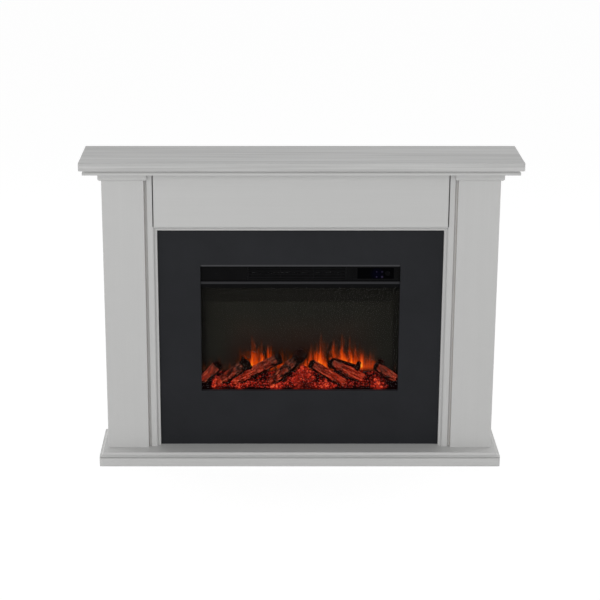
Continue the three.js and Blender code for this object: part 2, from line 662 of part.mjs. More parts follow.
// ---------------------------------------------------------------- mantel: base and hidden rails

function basePlan() {
  const plan = roundedFoot(-BASE_X, BASE_X, BASE_FRONT_Y, WALL_Y, BASE_CORNER_RADIUS);
  return alongZ(plan, -TOOL_SPARE, BASE_HEIGHT + TOOL_SPARE);
}

// Draws the base top's edge into a shape, going up from its lower corner: the groove, a plain lip, then a
// hollow up to a sharp corner. The edge faces left or front, so the board lies on the higher side of the
// face.
function drawBaseEdge(shape, face) {
  const bottom = SKIRT_TOP_Z + SEAM;
  const foot = new THREE.Vector2(face + BASE_STEP, bottom + BASE_QUIRK_HEIGHT);
  const lip = new THREE.Vector2(foot.x, foot.y + BASE_LIP_HEIGHT);
  const corner = new THREE.Vector2(face + BASE_MOULD_WIDTH, BASE_HEIGHT);
  const cove = new THREE.QuadraticBezierCurve(lip, new THREE.Vector2(corner.x, lip.y), corner);
  shape.lineTo(face + BASE_QUIRK_DEPTH, bottom);
  shape.lineTo(face + BASE_QUIRK_DEPTH, foot.y);
  shape.lineTo(foot.x, foot.y);
  for (const point of cove.getPoints(BASE_COVE_STEPS)) {
    shape.lineTo(point.x, point.y);
  }
}

function addBaseTop() {
  const bottom = SKIRT_TOP_Z + SEAM;
  const frontToBack = new THREE.Shape();
  frontToBack.moveTo(WALL_Y, BASE_HEIGHT);
  frontToBack.lineTo(WALL_Y, bottom);
  drawBaseEdge(frontToBack, BASE_FRONT_Y);
  // The left half of the end-to-end outline is drawn and its points are repeated, mirrored, for the right.
  const half = new THREE.Shape();
  half.moveTo(0, bottom);
  drawBaseEdge(half, -BASE_X);
  const left = half.getPoints().slice(1).map((point) => [point.x, point.y]);
  const right = left.map(([across, up]) => [-across, up]);
  const endToEnd = polygon([...right, ...left.reverse()]);
  const board = common([
    alongX(frontToBack, -BASE_X, BASE_X),
    alongY(endToEnd, BASE_FRONT_Y, WALL_Y),
    basePlan(),
  ]);
  add(mantel, 'base_top_board', WHITE_WOOD, board);
}

function skirtOutline() {
  const shape = new THREE.Shape();
  shape.moveTo(-SKIRT_THICKNESS, 0);
  shape.lineTo(-SKIRT_EDGE_RADIUS, 0);
  shape.absarc(-SKIRT_EDGE_RADIUS, SKIRT_EDGE_RADIUS, SKIRT_EDGE_RADIUS, 1.5 * Math.PI, 2 * Math.PI, false);
  shape.lineTo(0, SKIRT_TOP_Z);
  shape.lineTo(-SKIRT_THICKNESS, SKIRT_TOP_Z);
  return shape;
}

function addSkirts() {
  const plan = basePlan();
  const sideLength = WALL_Y - BASE_FRONT_Y;
  const addSkirt = (name, board, out, start) => {
    const placed = board.applyMatrix4(turnTo(out, Z)).translate(start.x, start.y, 0);
    add(mantel, name, WHITE_WOOD, common([placed, plan]));
  };
  const front = moulding(skirtOutline(), 2 * BASE_X, true, true);
  addSkirt('base_skirt_front', front, back(Y), new THREE.Vector2(BASE_X, BASE_FRONT_Y));
  const left = moulding(skirtOutline(), sideLength, true, false);
  addSkirt('base_skirt_left', left, back(X), new THREE.Vector2(-BASE_X, BASE_FRONT_Y));
  const right = moulding(skirtOutline(), sideLength, false, true);
  addSkirt('base_skirt_right', right, X, new THREE.Vector2(BASE_X, WALL_Y));
}

function addRails() {
  const betweenSkirts = BASE_X - SKIRT_THICKNESS - SEAM;
  const railY = [WALL_Y - BOARD_THICKNESS, WALL_Y];
  addBox(mantel, 'base_back_rail', RAW_BOARD, [-betweenSkirts, betweenSkirts], railY, [0, SKIRT_TOP_Z]);
  const railTop = UNDER_SHELF_Z - SEAM;
  addBox(mantel, 'top_back_rail', RAW_BOARD, BETWEEN_LEGS, railY, [railTop - TOP_RAIL_HEIGHT, railTop]);
  const shelfY = [CASING_FRONT_Y, CASING_FRONT_Y + CASING_DEPTH];
  const shelfTop = CASING_FOOT_Z - SEAM;
  addBox(mantel, 'firebox_shelf', RAW_BOARD, BETWEEN_LEGS, shelfY, [shelfTop - BOARD_THICKNESS, shelfTop]);
}

// ---------------------------------------------------------------- insert: casing

function addCasing() {
  const across = [-CASING_X, CASING_X];
  const depth = [0, CASING_BACK - SEAM];
  addBox(insert, 'casing_bottom', BLACK_STEEL, across, depth, [0, SHEET]);
  addBox(insert, 'casing_top', BLACK_STEEL, across, depth, [CASING_CEILING, CASING_HEIGHT]);
  const height = [CASING_FLOOR, CASING_CEILING - SEAM];
  for (const { word, sign } of SIDES) {
    addBox(insert, `casing_${word}`, BLACK_STEEL, spanOnSide(sign, CASING_INNER_X, CASING_X), depth, height);
  }
  const trayY = [FASCIA_BACK + SEAM, CASING_BACK - SEAM];
  addBox(insert, 'heater_tray', ZINC_STEEL, [-INSIDE_X, INSIDE_X], trayY, [FASCIA_FOOT, BAY_FLOOR]);
}

// The back sheet has two rows of intake slots behind the blower and one round hole for the cable gland.
function addCasingBack() {
  const sheet = rectangle(-CASING_X, CASING_X, 0, CASING_HEIGHT);
  sheet.holes.push(circle(CASING_X - GLAND_INSET, GLAND_HEIGHT, GLAND_BORE + GLAND_WALL + SEAM));
  const slotY = [CASING_BACK - TOOL_SPARE, CASING_DEPTH + TOOL_SPARE];
  const slots = [];
  for (const row of [-0.5, 0.5]) {
    for (let i = 0; i < VENT_COUNT; i++) {
      const x = GRILLE_X + (i - (VENT_COUNT - 1) / 2) * VENT_PITCH;
      const z = BLOWER_AXIS_Z + row * VENT_ROW_PITCH;
      const slotX = [x - VENT_WIDTH / 2, x + VENT_WIDTH / 2];
      slots.push(boxBetween(slotX, slotY, [z - VENT_HEIGHT / 2, z + VENT_HEIGHT / 2]));
    }
  }
  add(insert, 'casing_back', BLACK_STEEL, cut(alongY(sheet, CASING_BACK, CASING_DEPTH), slots));
}

function addGland() {
  const sleeve = GLAND_BORE + GLAND_WALL;
  const flangeEnd = SEAM + GLAND_FLANGE_THICKNESS;
  const profile = [
    [GLAND_BORE, -GLAND_LENGTH], [sleeve, -GLAND_LENGTH], [sleeve, SEAM], [sleeve + GLAND_FLANGE, SEAM],
    [sleeve + GLAND_FLANGE, flangeEnd], [GLAND_BORE, flangeEnd], [GLAND_BORE, -GLAND_LENGTH],
  ];
  const gland = add(insert, 'cable_gland', NYLON, turnedY(profile, 24));
  gland.position.set(CASING_X - GLAND_INSET, CASING_DEPTH, GLAND_HEIGHT);
}

// ---------------------------------------------------------------- insert: front

function addFront() {
  const across = [-INSIDE_X, INSIDE_X];
  const glassY = [FRONT_RECESS, FRONT_RECESS + GLASS_THICKNESS];
  addBox(insert, 'front_glass', GLASS, across, glassY, [CASING_FLOOR, FASCIA_FOOT - SEAM]);

  const fascia = rectangle(-INSIDE_X, INSIDE_X, FASCIA_FOOT, CASING_CEILING - SEAM);
  fascia.holes.push(rectangle(GRILLE_LEFT, GRILLE_RIGHT, BAND_BOTTOM, BAND_TOP));
  const windowX = [DISPLAY_X - WINDOW_WIDTH / 2, DISPLAY_X + WINDOW_WIDTH / 2];
  const windowZ = [BAND_MIDDLE - WINDOW_HEIGHT / 2, BAND_MIDDLE + WINDOW_HEIGHT / 2];
  fascia.holes.push(rectangle(windowX[0], windowX[1], windowZ[0], windowZ[1]));
  add(insert, 'fascia', BLACK_PLASTIC, alongY(fascia, FRONT_RECESS, FASCIA_BACK));

  const trimX = OPENING_WIDTH / 2 - OPENING_CLEARANCE;
  const trimY = [FITTING_BACK - TRIM_THICKNESS, FITTING_BACK];
  const lowerZ = [LOWER_TRIM_TOP - LOWER_TRIM_HEIGHT, LOWER_TRIM_TOP];
  addBox(insert, 'lower_trim', BRUSHED_METAL, [-trimX, trimX], trimY, lowerZ);
  const topZ = [TOP_TRIM_TOP - TOP_TRIM_HEIGHT, TOP_TRIM_TOP];
  addBox(insert, 'top_trim', BRUSHED_METAL, [-trimX, trimX], trimY, topZ);
}

// The outlet grille: a rim in the fascia's long hole, leaning slats, and upright ribs that tie them. Slats
// and ribs run half way into the rim.
function addGrille() {
  const left = GRILLE_LEFT + GRILLE_FIT;
  const right = GRILLE_RIGHT - GRILLE_FIT;
  const bottom = BAND_BOTTOM + GRILLE_FIT;
  const top = BAND_TOP - GRILLE_FIT;
  const y = [FRONT_RECESS, FRONT_RECESS + GRILLE_DEPTH];
  const rim = rectangle(left, right, bottom, top);
  rim.holes.push(rectangle(left + GRILLE_RIM, right - GRILLE_RIM, bottom + GRILLE_RIM, top - GRILLE_RIM));
  const pieces = [alongY(rim, y[0], y[1])];
  const pitch = (top - bottom - 2 * GRILLE_RIM) / SLAT_COUNT;
  const slatLength = right - left - GRILLE_RIM;
  for (let i = 0; i < SLAT_COUNT; i++) {
    const slat = new THREE.BoxGeometry(slatLength, SLAT_WIDTH, SLAT_THICKNESS).rotateX(SLAT_LEAN);
    const z = bottom + GRILLE_RIM + (i + 0.5) * pitch;
    pieces.push(slat.translate((left + right) / 2, (y[0] + y[1]) / 2, z));
  }
  const ribY = [y[0] + RIB_RECESS, y[1] - WELD];
  for (let i = 1; i <= RIB_COUNT; i++) {
    const x = left + ((right - left) * i) / (RIB_COUNT + 1);
    const ribX = [x - RIB_WIDTH / 2, x + RIB_WIDTH / 2];
    pieces.push(boxBetween(ribX, ribY, [bottom + GRILLE_RIM / 2, top - GRILLE_RIM / 2]));
  }
  add(insert, 'outlet_grille', BLACK_PLASTIC, join(pieces));
}

// ---------------------------------------------------------------- insert: display, button and circuit board

function addDisplay() {
  const bezelFront = FITTING_BACK - BEZEL_THICKNESS;
  const plate = rectangle(-BEZEL_WIDTH / 2, BEZEL_WIDTH / 2, -BAND_HEIGHT / 2, BAND_HEIGHT / 2);
  plate.holes.push(rectangle(-WINDOW_WIDTH / 2, WINDOW_WIDTH / 2, -WINDOW_HEIGHT / 2, WINDOW_HEIGHT / 2));
  const pieces = [alongY(plate, bezelFront, FITTING_BACK)];
  const gripHeight = WINDOW_HEIGHT - GRIP_SHORTER;
  for (const { sign } of SIDES) {
    for (const inset of GRIP_INSETS) {
      const grip = new THREE.CylinderGeometry(GRIP_RADIUS, GRIP_RADIUS, gripHeight, 12).rotateX(Math.PI / 2);
      pieces.push(grip.translate(sign * (BEZEL_WIDTH / 2 - inset), bezelFront, 0));
    }
  }
  const bezel = add(insert, 'display_bezel', BLACK_PLASTIC, join(pieces));
  bezel.position.set(DISPLAY_X, 0, BAND_MIDDLE);

  const halfWidth = WINDOW_WIDTH / 2 - SEAM;
  const halfHeight = WINDOW_HEIGHT / 2 - SEAM;
  const pane = rectangle(-halfWidth, halfWidth, -halfHeight, halfHeight);
  pane.holes.push(circle(BUTTON_X, 0, BUTTON_RADIUS + RUNNING_GAP));
  const paneFront = bezelFront + WINDOW_RECESS;
  const display = add(insert, 'display_window', GLOSS_BLACK, alongY(pane, paneFront, FASCIA_BACK));
  display.position.set(DISPLAY_X, 0, BAND_MIDDLE);
  addButton(paneFront - BUTTON_PROUD);
}

// The button's cap stands in the window's round hole. A flange behind the window keeps it in, and its stem
// stops short of the switch by the travel and a seam.
function addButton(capFront) {
  const flangeRadius = BUTTON_RADIUS + FLANGE_LIP;
  const flangeFront = FLANGE_BACK - FLANGE_THICKNESS;
  const stemEnd = FLANGE_BACK + STEM_LENGTH;
  const profile = [
    [0, capFront], [BUTTON_RADIUS - BUTTON_EDGE, capFront], [BUTTON_RADIUS, capFront + BUTTON_EDGE],
    [BUTTON_RADIUS, flangeFront], [flangeRadius, flangeFront], [flangeRadius, FLANGE_BACK],
    [STEM_RADIUS, FLANGE_BACK], [STEM_RADIUS, stemEnd], [0, stemEnd],
  ];
  const button = add(insert, 'power_button', GLOSS_BLACK, turnedY(profile, 32));
  button.position.set(DISPLAY_X + BUTTON_X, 0, BAND_MIDDLE);
}

// The circuit board stands behind the fascia on four posts. It carries the button's switch on its front and
// two relays on its back.
function addCircuitBoard() {
  const y = [CIRCUIT_FRONT, CIRCUIT_FRONT + CIRCUIT_THICKNESS];
  const halfWidth = CIRCUIT_WIDTH / 2;
  const halfHeight = CIRCUIT_HEIGHT / 2;
  const pieces = [boxBetween([-halfWidth, halfWidth], y, [-halfHeight, halfHeight])];
  const postY = [FASCIA_BACK + SEAM, CIRCUIT_FRONT + WELD];
  for (const x of [-halfWidth + POST_INSET, halfWidth - POST_INSET]) {
    for (const z of [-halfHeight + POST_INSET, halfHeight - POST_INSET]) {
      const post = new THREE.CylinderGeometry(POST_RADIUS, POST_RADIUS, postY[1] - postY[0], 12);
      pieces.push(post.translate(x, (postY[0] + postY[1]) / 2, z));
    }
  }
  const switchX = [BUTTON_X - SWITCH_SIZE / 2, BUTTON_X + SWITCH_SIZE / 2];
  pieces.push(boxBetween(switchX, [y[0] - SWITCH_HEIGHT, y[0] + WELD], [-SWITCH_SIZE / 2, SWITCH_SIZE / 2]));
  const relayY = [y[1] - WELD, y[1] + RELAY_DEPTH];
  for (const x of RELAY_PLACES) {
    const relayX = [x - RELAY_WIDTH / 2, x + RELAY_WIDTH / 2];
    pieces.push(boxBetween(relayX, relayY, [-RELAY_HEIGHT / 2, RELAY_HEIGHT / 2]));
  }
  const board = add(insert, 'control_board', CIRCUIT, join(pieces));
  board.position.set(DISPLAY_X, 0, BAND_MIDDLE);
}

// ---------------------------------------------------------------- insert: blower and heating element

// A thin wall along a line of points in (Y, Z): the line is offset by half the thickness to each side.
function ribbon(points, thickness) {
  const offset = (side) => points.map((point, i) => {
    const before = points[Math.max(i - 1, 0)];
    const after = points[Math.min(i + 1, points.length - 1)];
    const along = new THREE.Vector2(after[0] - before[0], after[1] - before[1]).normalize();
    return [point[0] - (along.y * side * thickness) / 2, point[1] + (along.x * side * thickness) / 2];
  });
  return polygon([...offset(-1), ...offset(1).reverse()]);
}

// Two end plates, with a scroll and a tongue between them. The scroll leaves the top of the mouth, passes
// over the impeller and ends behind it. The tongue is the floor of the mouth.
function addBlowerHousing() {
  const scrollRadius = IMPELLER_RADIUS + SCROLL_GAP;
  const plateEnd = BLOWER_AXIS_Y + scrollRadius + PLATE_MARGIN;
  const pieces = [];
  for (const { sign } of SIDES) {
    const plate = rectangle(MOUTH, plateEnd, BAY_FLOOR + SEAM, CASING_CEILING - SEAM);
    plate.holes.push(circle(BLOWER_AXIS_Y, BLOWER_AXIS_Z, SHAFT_RADIUS + RUNNING_GAP));
    const [from, to] = spanOnSide(sign, BLOWER_INNER, BLOWER_OUTER);
    pieces.push(alongX(plate, from, to));
  }
  const ductTop = BLOWER_AXIS_Z + DUCT_HEIGHT / 2;
  const ductFloor = BLOWER_AXIS_Z - DUCT_HEIGHT / 2;
  const scroll = [[MOUTH, ductTop]];
  for (let i = 0; i <= SCROLL_STEPS; i++) {
    const angle = Math.PI * (SCROLL_START - (i / SCROLL_STEPS) * SCROLL_SWEEP);
    const y = BLOWER_AXIS_Y + scrollRadius * Math.cos(angle);
    scroll.push([y, BLOWER_AXIS_Z + scrollRadius * Math.sin(angle)]);
  }
  const tongue = [[MOUTH, ductFloor], [MOUTH + TONGUE_LENGTH, ductFloor + TONGUE_RISE]];
  const half = BLOWER_INNER + WELD;
  pieces.push(alongX(ribbon(scroll, SCROLL_THICKNESS), -half, half));
  pieces.push(alongX(ribbon(tongue, SCROLL_THICKNESS), -half, half));
  const housing = add(insert, 'blower_housing', BLACK_STEEL, join(pieces));
  housing.position.x = GRILLE_X;
}

// A long drum of blades between three discs, on one shaft.
function addImpeller() {
  const half = BLOWER_INNER - IMPELLER_END_GAP;
  const pieces = [rodX(SHAFT_RADIUS, 2 * (BLOWER_OUTER + SHAFT_REACH), 0, 12)];
  for (const x of [-half + DISC_THICKNESS / 2, 0, half - DISC_THICKNESS / 2]) {
    pieces.push(rodX(IMPELLER_RADIUS, DISC_THICKNESS, x, 32));
  }
  const bladeRadius = IMPELLER_RADIUS - BLADE_INSET - BLADE_DEPTH / 2;
  for (let i = 0; i < BLADE_COUNT; i++) {
    const blade = new THREE.BoxGeometry(2 * (half - WELD), BLADE_THICKNESS, BLADE_DEPTH);
    blade.rotateX(BLADE_PITCH).translate(0, 0, bladeRadius).rotateX((i / BLADE_COUNT) * 2 * Math.PI);
    pieces.push(blade);
  }
  const impeller = add(insert, 'blower_impeller', FOIL, join(pieces));
  impeller.position.set(GRILLE_X, BLOWER_AXIS_Y, BLOWER_AXIS_Z);
}

// A drum along X with a blind bore in its left end, at the origin, for a shaft.
function boredDrum(radius, length, shaftRadius, shaftReach) {
  const bore = shaftRadius + RUNNING_GAP;
  const boreEnd = shaftReach + BORE_SPARE;
  const profile = [[0, boreEnd], [bore, boreEnd], [bore, 0], [radius, 0], [radius, length], [0, length]];
  return turnedY(profile, 28).rotateZ(-Math.PI / 2);
}

function addBlowerMotor() {
  const drum = boredDrum(MOTOR_RADIUS, MOTOR_LENGTH, SHAFT_RADIUS, SHAFT_REACH);
  const motor = add(insert, 'blower_motor', MOTOR_STEEL, drum);
  motor.position.set(GRILLE_X + BLOWER_OUTER + SEAM, BLOWER_AXIS_Y, BLOWER_AXIS_Z);
}

// The element fills the blower's mouth: two ceramic caps, heating bars between them and upright fins.
function addHeatingElement() {
  const half = BLOWER_INNER - SEAM;
  const height = DUCT_HEIGHT - SCROLL_THICKNESS - 2 * ELEMENT_MARGIN;
  const y = [ELEMENT_FRONT, ELEMENT_FRONT + ELEMENT_DEPTH];
  const inCap = half - ELEMENT_CAP;
  const pieces = [];
  for (const { sign } of SIDES) {
    pieces.push(boxBetween(spanOnSide(sign, inCap, half), y, [-height / 2, height / 2]));
  }
  const barX = [-inCap - WELD, inCap + WELD];
  const barY = [y[0] + ELEMENT_BAR_INSET, y[1] - ELEMENT_BAR_INSET];
  for (let i = 0; i < ELEMENT_BARS; i++) {
    const z = ((i - (ELEMENT_BARS - 1) / 2) * height) / ELEMENT_BARS;
    pieces.push(boxBetween(barX, barY, [z - ELEMENT_BAR / 2, z + ELEMENT_BAR / 2]));
  }
  const finY = [y[0] + ELEMENT_FIN_INSET, y[1] - ELEMENT_FIN_INSET];
  const finZ = [-height / 2 + ELEMENT_FIN_INSET, height / 2 - ELEMENT_FIN_INSET];
  for (let i = 0; i < ELEMENT_FINS; i++) {
    const x = ((i + 0.5) / ELEMENT_FINS - 0.5) * 2 * inCap;
    pieces.push(boxBetween([x - ELEMENT_FIN / 2, x + ELEMENT_FIN / 2], finY, finZ));
  }
  const element = add(insert, 'heating_element', CERAMIC, join(pieces));
  element.position.set(GRILLE_X, 0, BLOWER_AXIS_Z);
}

// ---------------------------------------------------------------- insert: flame effect

function addFlameScreen() {
  const y = [SCREEN_FRONT, SCREEN_BACK];
  addBox(insert, 'flame_screen', SCREEN, [-INSIDE_X, INSIDE_X], y, [CASING_FLOOR, FASCIA_FOOT - SEAM]);
}

// The rotor is a thin rod with small bright flags that turn the light into flicker. It turns between a motor
// on the right side and a bearing on the left side.
function addRotor() {
  const driveFace = INSIDE_X - DRIVE_LENGTH;
  const driveDrum = boredDrum(DRIVE_RADIUS, DRIVE_LENGTH, ROD_RADIUS, ROD_REACH);
  const drive = add(insert, 'rotor_motor', MOTOR_STEEL, driveDrum);
  drive.position.set(driveFace, ROTOR_AXIS_Y, ROTOR_HEIGHT);
  const bearingFace = BEARING_LENGTH - INSIDE_X;
  const bush = boredDrum(BEARING_RADIUS, BEARING_LENGTH, ROD_RADIUS, ROD_REACH);
  const bearing = add(insert, 'rotor_bearing', NYLON, bush);
  bearing.position.set(bearingFace, ROTOR_AXIS_Y, ROTOR_HEIGHT);
  bearing.rotation.z = Math.PI;

  const length = driveFace - bearingFace;
  const pieces = [rodX(ROD_RADIUS, length + 2 * ROD_REACH, 0, 10)];
  for (let i = 0; i < FLAG_COUNT; i++) {
    const flag = new THREE.BoxGeometry(FLAG_WIDTH, FLAG_THICKNESS, FLAG_RADIUS);
    flag.translate(0, 0, FLAG_RADIUS / 2).rotateX(THREE.MathUtils.degToRad(i * FLAG_TURN));
    const x = ((i + 0.5) / FLAG_COUNT - 0.5) * (length - FLAG_WIDTH);
    pieces.push(flag.translate(x, 0, 0));
  }
  const rotor = add(insert, 'flame_rotor', FOIL, join(pieces));
  rotor.position.set((driveFace + bearingFace) / 2, ROTOR_AXIS_Y, ROTOR_HEIGHT);
}

function addLightStrip() {
  const half = CASING_INNER_X - STRIP_END_GAP;
  const y = [-STRIP_WIDTH / 2, STRIP_WIDTH / 2];
  const lampY = [-LED_SIZE / 2, LED_SIZE / 2];
  const lampZ = [CIRCUIT_THICKNESS - WELD, CIRCUIT_THICKNESS + LED_HEIGHT];
  const pieces = [boxBetween([-half, half], y, [0, CIRCUIT_THICKNESS])];
  for (let i = 0; i < LED_COUNT; i++) {
    const x = ((i + 0.5) / LED_COUNT - 0.5) * 2 * half;
    pieces.push(boxBetween([x - LED_SIZE / 2, x + LED_SIZE / 2], lampY, lampZ));
  }
  const strip = add(insert, 'light_strip', CIRCUIT, join(pieces));
  strip.position.set(0, ROTOR_AXIS_Y, CASING_FLOOR);
}

// ---------------------------------------------------------------- insert: logs and ember bed

// One log as a turned shape, thickest near its middle and slightly knotty. It is drawn up from its foot,
// then leant over.
function logGeometry(log, grown) {
  const radius = log.radius * LOG_RADIUS;
  const length = log.length * LOG_RADIUS;
  const taper = 0.1;
  const knots = 0.03;
  const knotPitch = 9;
  const knotShift = 20;
  const profile = [[0, -grown]];
  for (let i = 0; i <= LOG_STATIONS; i++) {
    const t = i / LOG_STATIONS;
    const knot = knots * Math.sin(knotPitch * t + knotShift * log.foot);
    const swell = 1 - taper + taper * Math.sin(Math.PI * t) + knot;
    profile.push([radius * swell + grown, -grown + t * (length + 2 * grown)]);
  }
  profile.push([0, length + grown]);
  const angle = THREE.MathUtils.degToRad(Math.abs(log.lean));
  const across = Math.cos(angle) * Math.sign(log.lean);
  const axis = new THREE.Vector3(across, LOG_LEAN_BACK / length, Math.sin(angle));
  const geometry = turnedY(profile, LOG_SIDES);
  geometry.applyQuaternion(new THREE.Quaternion().setFromUnitVectors(Y, axis.normalize()));
  const footY = (EMBER_FRONT + EMBER_BACK - LOG_LEAN_BACK) / 2;
  return geometry.translate(log.foot * EMBER_X, footY, CASING_FLOOR + log.rise * LOG_RADIUS);
}

// The top of the ember bed is a rippled line with a mound wherever embers are heaped.
function emberOutline() {
  const points = [[EMBER_X, CASING_FLOOR]];
  for (let i = 0; i <= EMBER_STEPS; i++) {
    const place = 1 - (2 * i) / EMBER_STEPS;
    let height = 1;
    for (const ripple of EMBER_RIPPLES) height += ripple.size * Math.sin(ripple.pitch * place);
    for (const mound of EMBER_MOUNDS) {
      const away = ((place - mound.at) * EMBER_X) / (mound.spread * LOG_RADIUS);
      height += mound.height * Math.exp(-away * away);
    }
    points.push([place * EMBER_X, CASING_FLOOR + height * EMBER_HEIGHT]);
  }
  points.push([-EMBER_X, CASING_FLOOR]);
  return polygon(points);
}

// Heaps the bed up towards the back by tilting its top.
function heapedBed() {
  const geometry = alongY(emberOutline(), EMBER_FRONT, EMBER_BACK);
  const position = geometry.attributes.position;
  for (let i = 0; i < position.count; i++) {
    const z = position.getZ(i);
    const back = (position.getY(i) - EMBER_FRONT) / EMBER_DEPTH - 0.5;
    if (z > CASING_FLOOR + WELD) position.setZ(i, z + back * EMBER_RISE * EMBER_HEIGHT);
  }
  return geometry;
}

// Each log is carved round the logs after it, and the bed is carved round them all.
function addLogsAndEmbers() {
  const grownLogs = LOGS.map((log) => logGeometry(log, LOG_CLEARANCE));
  LOGS.forEach((log, i) => {
    add(insert, `log_${i + 1}`, CHARRED_LOG, cut(logGeometry(log, 0), grownLogs.slice(i + 1)));
  });
  add(insert, 'ember_bed', EMBERS, cut(heapedBed(), grownLogs));
}

// ---------------------------------------------------------------- assembly

addShelf();
addBedMoulding();
addHeader();
SIDES.forEach(addLeg);
SIDES.forEach(addCapital);
SIDES.forEach(addStile);
addBeads();
addInfill();
addBaseTop();
addSkirts();
addRails();

addCasing();
addCasingBack();
addGland();
addFront();
addGrille();
addDisplay();
addCircuitBoard();
addBlowerHousing();
addImpeller();
addBlowerMotor();
addHeatingElement();
addFlameScreen();
addRotor();
addLightStrip();
addLogsAndEmbers();

export default fireplace;
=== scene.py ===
"""Electric fireplace: a white mantel round an insert with a heater and a log fire effect."""

import math
import random
from collections import namedtuple

import bmesh
import bpy
from bpy.props import FloatProperty, FloatVectorProperty, IntProperty, PointerProperty
from mathutils import Matrix, Vector, noise


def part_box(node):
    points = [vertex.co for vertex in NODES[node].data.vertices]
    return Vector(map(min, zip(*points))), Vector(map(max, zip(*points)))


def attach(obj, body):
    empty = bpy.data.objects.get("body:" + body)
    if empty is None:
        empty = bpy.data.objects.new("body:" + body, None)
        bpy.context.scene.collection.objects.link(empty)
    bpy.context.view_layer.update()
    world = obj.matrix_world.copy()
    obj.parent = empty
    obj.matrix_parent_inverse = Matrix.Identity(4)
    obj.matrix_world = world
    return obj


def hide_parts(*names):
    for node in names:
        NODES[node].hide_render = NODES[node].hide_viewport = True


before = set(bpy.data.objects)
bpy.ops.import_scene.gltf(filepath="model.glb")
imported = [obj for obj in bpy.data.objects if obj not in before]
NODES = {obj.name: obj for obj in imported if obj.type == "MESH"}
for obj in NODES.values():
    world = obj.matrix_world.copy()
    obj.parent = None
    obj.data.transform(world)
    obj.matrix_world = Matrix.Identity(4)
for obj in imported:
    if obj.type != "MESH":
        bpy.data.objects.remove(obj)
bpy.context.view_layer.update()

bl_info = {
    "name": "Electric Fireplace",
    "version": (1, 0, 0),
    "blender": (4, 5, 0),
    "location": "3D View > Sidebar > Fireplace",
    "description": "Finishes, logs, embers, flames and a stage for an electric fireplace",
    "category": "Object",
}

MM = 0.001
ROOT = "mantel_and_insert"


# ------------------------------------------------------------------ colours, nodes and meshes

# Noise values keep mostly within the first span, and most of them within the second.
NOISE_SPAN = {"From Min": 0.3, "From Max": 0.7}
NOISE_CORE = {"From Min": 0.35, "From Max": 0.65}


def linear(code):
    """An sRGB hex colour as linear red, green, blue and full alpha."""
    parts = [int(code[i : i + 2], 16) / 255 for i in (1, 3, 5)]
    parts = [p / 12.92 if p <= 0.04045 else ((p + 0.055) / 1.055) ** 2.4 for p in parts]
    return (*parts, 1.0)


def repeats(size):
    """How often a pattern of a size in millimetres comes in a metre."""
    return 1 / (size * MM)


def along(axis, length, across):
    """Mapping scale of a pattern drawn out along one axis, its sizes in millimetres."""
    return tuple(repeats(length if a == axis else across) for a in "XYZ")


def add(tree, kind, inputs=None, stops=(), **settings):
    """Adds a shader node. An input given a socket is linked, and given a node it is linked to that
    node's first output in use; any other is set, a hex colour as linear. Stops fill a colour
    ramp."""
    node = tree.nodes.new("ShaderNode" + kind)
    for name, value in settings.items():
        setattr(node, name, value)
    for key, value in (inputs or {}).items():
        socket = node.inputs[key] if isinstance(key, int) else next(
            s for s in node.inputs if s.enabled and s.name == key)
        if isinstance(value, bpy.types.Node):
            value = next(s for s in value.outputs if s.enabled)
        if isinstance(value, bpy.types.NodeSocket):
            tree.links.new(value, socket)
        else:
            socket.default_value = linear(value) if isinstance(value, str) else value
    for i, (place, colour) in enumerate(stops):
        elements = node.color_ramp.elements
        element = elements[i] if i < 2 else elements.new(place)
        element.position = place
        element.color = linear(colour) if isinstance(colour, str) else colour
    return node


def blank(name):
    """A material with an empty node tree, and that tree."""
    material = bpy.data.materials.new(name)
    material.use_nodes = True
    material.node_tree.nodes.clear()
    return material, material.node_tree


def made_of(name, finish, *details, mapped_by=None):
    """A material with the shader that a finish builds. Its patterns lie in the object's own space,
    or follow a vector that the mesh carries."""
    material, tree = blank(name)
    if mapped_by:
        place = add(tree, "Attribute", attribute_name=mapped_by).outputs["Vector"]
    else:
        place = add(tree, "TexCoord").outputs["Object"]
    add(tree, "OutputMaterial", {"Surface": finish(tree, place, *details)})
    return material


def dress(nodes, name, finish, *details):
    """Gives CAD nodes a finish through their material slots."""
    material = made_of(name, finish, *details)
    for node in nodes:
        for slot in NODES[node].material_slots:
            slot.material = material


def seen_directly(tree):
    """A share of 1 for what the eye meets, through glass and in reflections too, 0 for light."""
    path = add(tree, "LightPath").outputs
    seen = add(tree, "Math", {
        0: path["Is Camera Ray"], 1: path["Is Transmission Ray"]}, operation="MAXIMUM")
    return add(tree, "Math", {0: seen, 1: path["Is Glossy Ray"]}, operation="MAXIMUM")


def uneven(tree, colour, pattern, darkest, lightest):
    """A colour whose tone drifts with a noise pattern."""
    tone = add(tree, "MapRange", {
        "Value": pattern, **NOISE_SPAN, "To Min": darkest, "To Max": lightest})
    return add(tree, "VectorMath", {0: colour[:3], "Scale": tone}, operation="SCALE")


def stretched(tree, place, scale, detail, roughness=0.5, distortion=0.0):
    """A noise pattern drawn out by a mapping scale."""
    mapped = add(tree, "Mapping", {"Vector": place, "Scale": scale})
    return add(tree, "TexNoise", {
        "Vector": mapped, "Scale": 1.0, "Detail": detail, "Roughness": roughness,
        "Distortion": distortion})


def skin(tree, place, size, detail, strength, depth, smoothest, roughest):
    """Bump and roughness of a fine skin, from a noise pattern whose size and depth are in
    millimetres, as a shader's inputs."""
    grain = add(tree, "TexNoise", {"Vector": place, "Scale": repeats(size), "Detail": detail})
    bump = add(tree, "Bump", {"Strength": strength, "Distance": depth * MM, "Height": grain})
    rough = add(tree, "MapRange", {
        "Value": grain, **NOISE_SPAN, "To Min": smoothest, "To Max": roughest})
    return {"Normal": bump, "Roughness": rough}


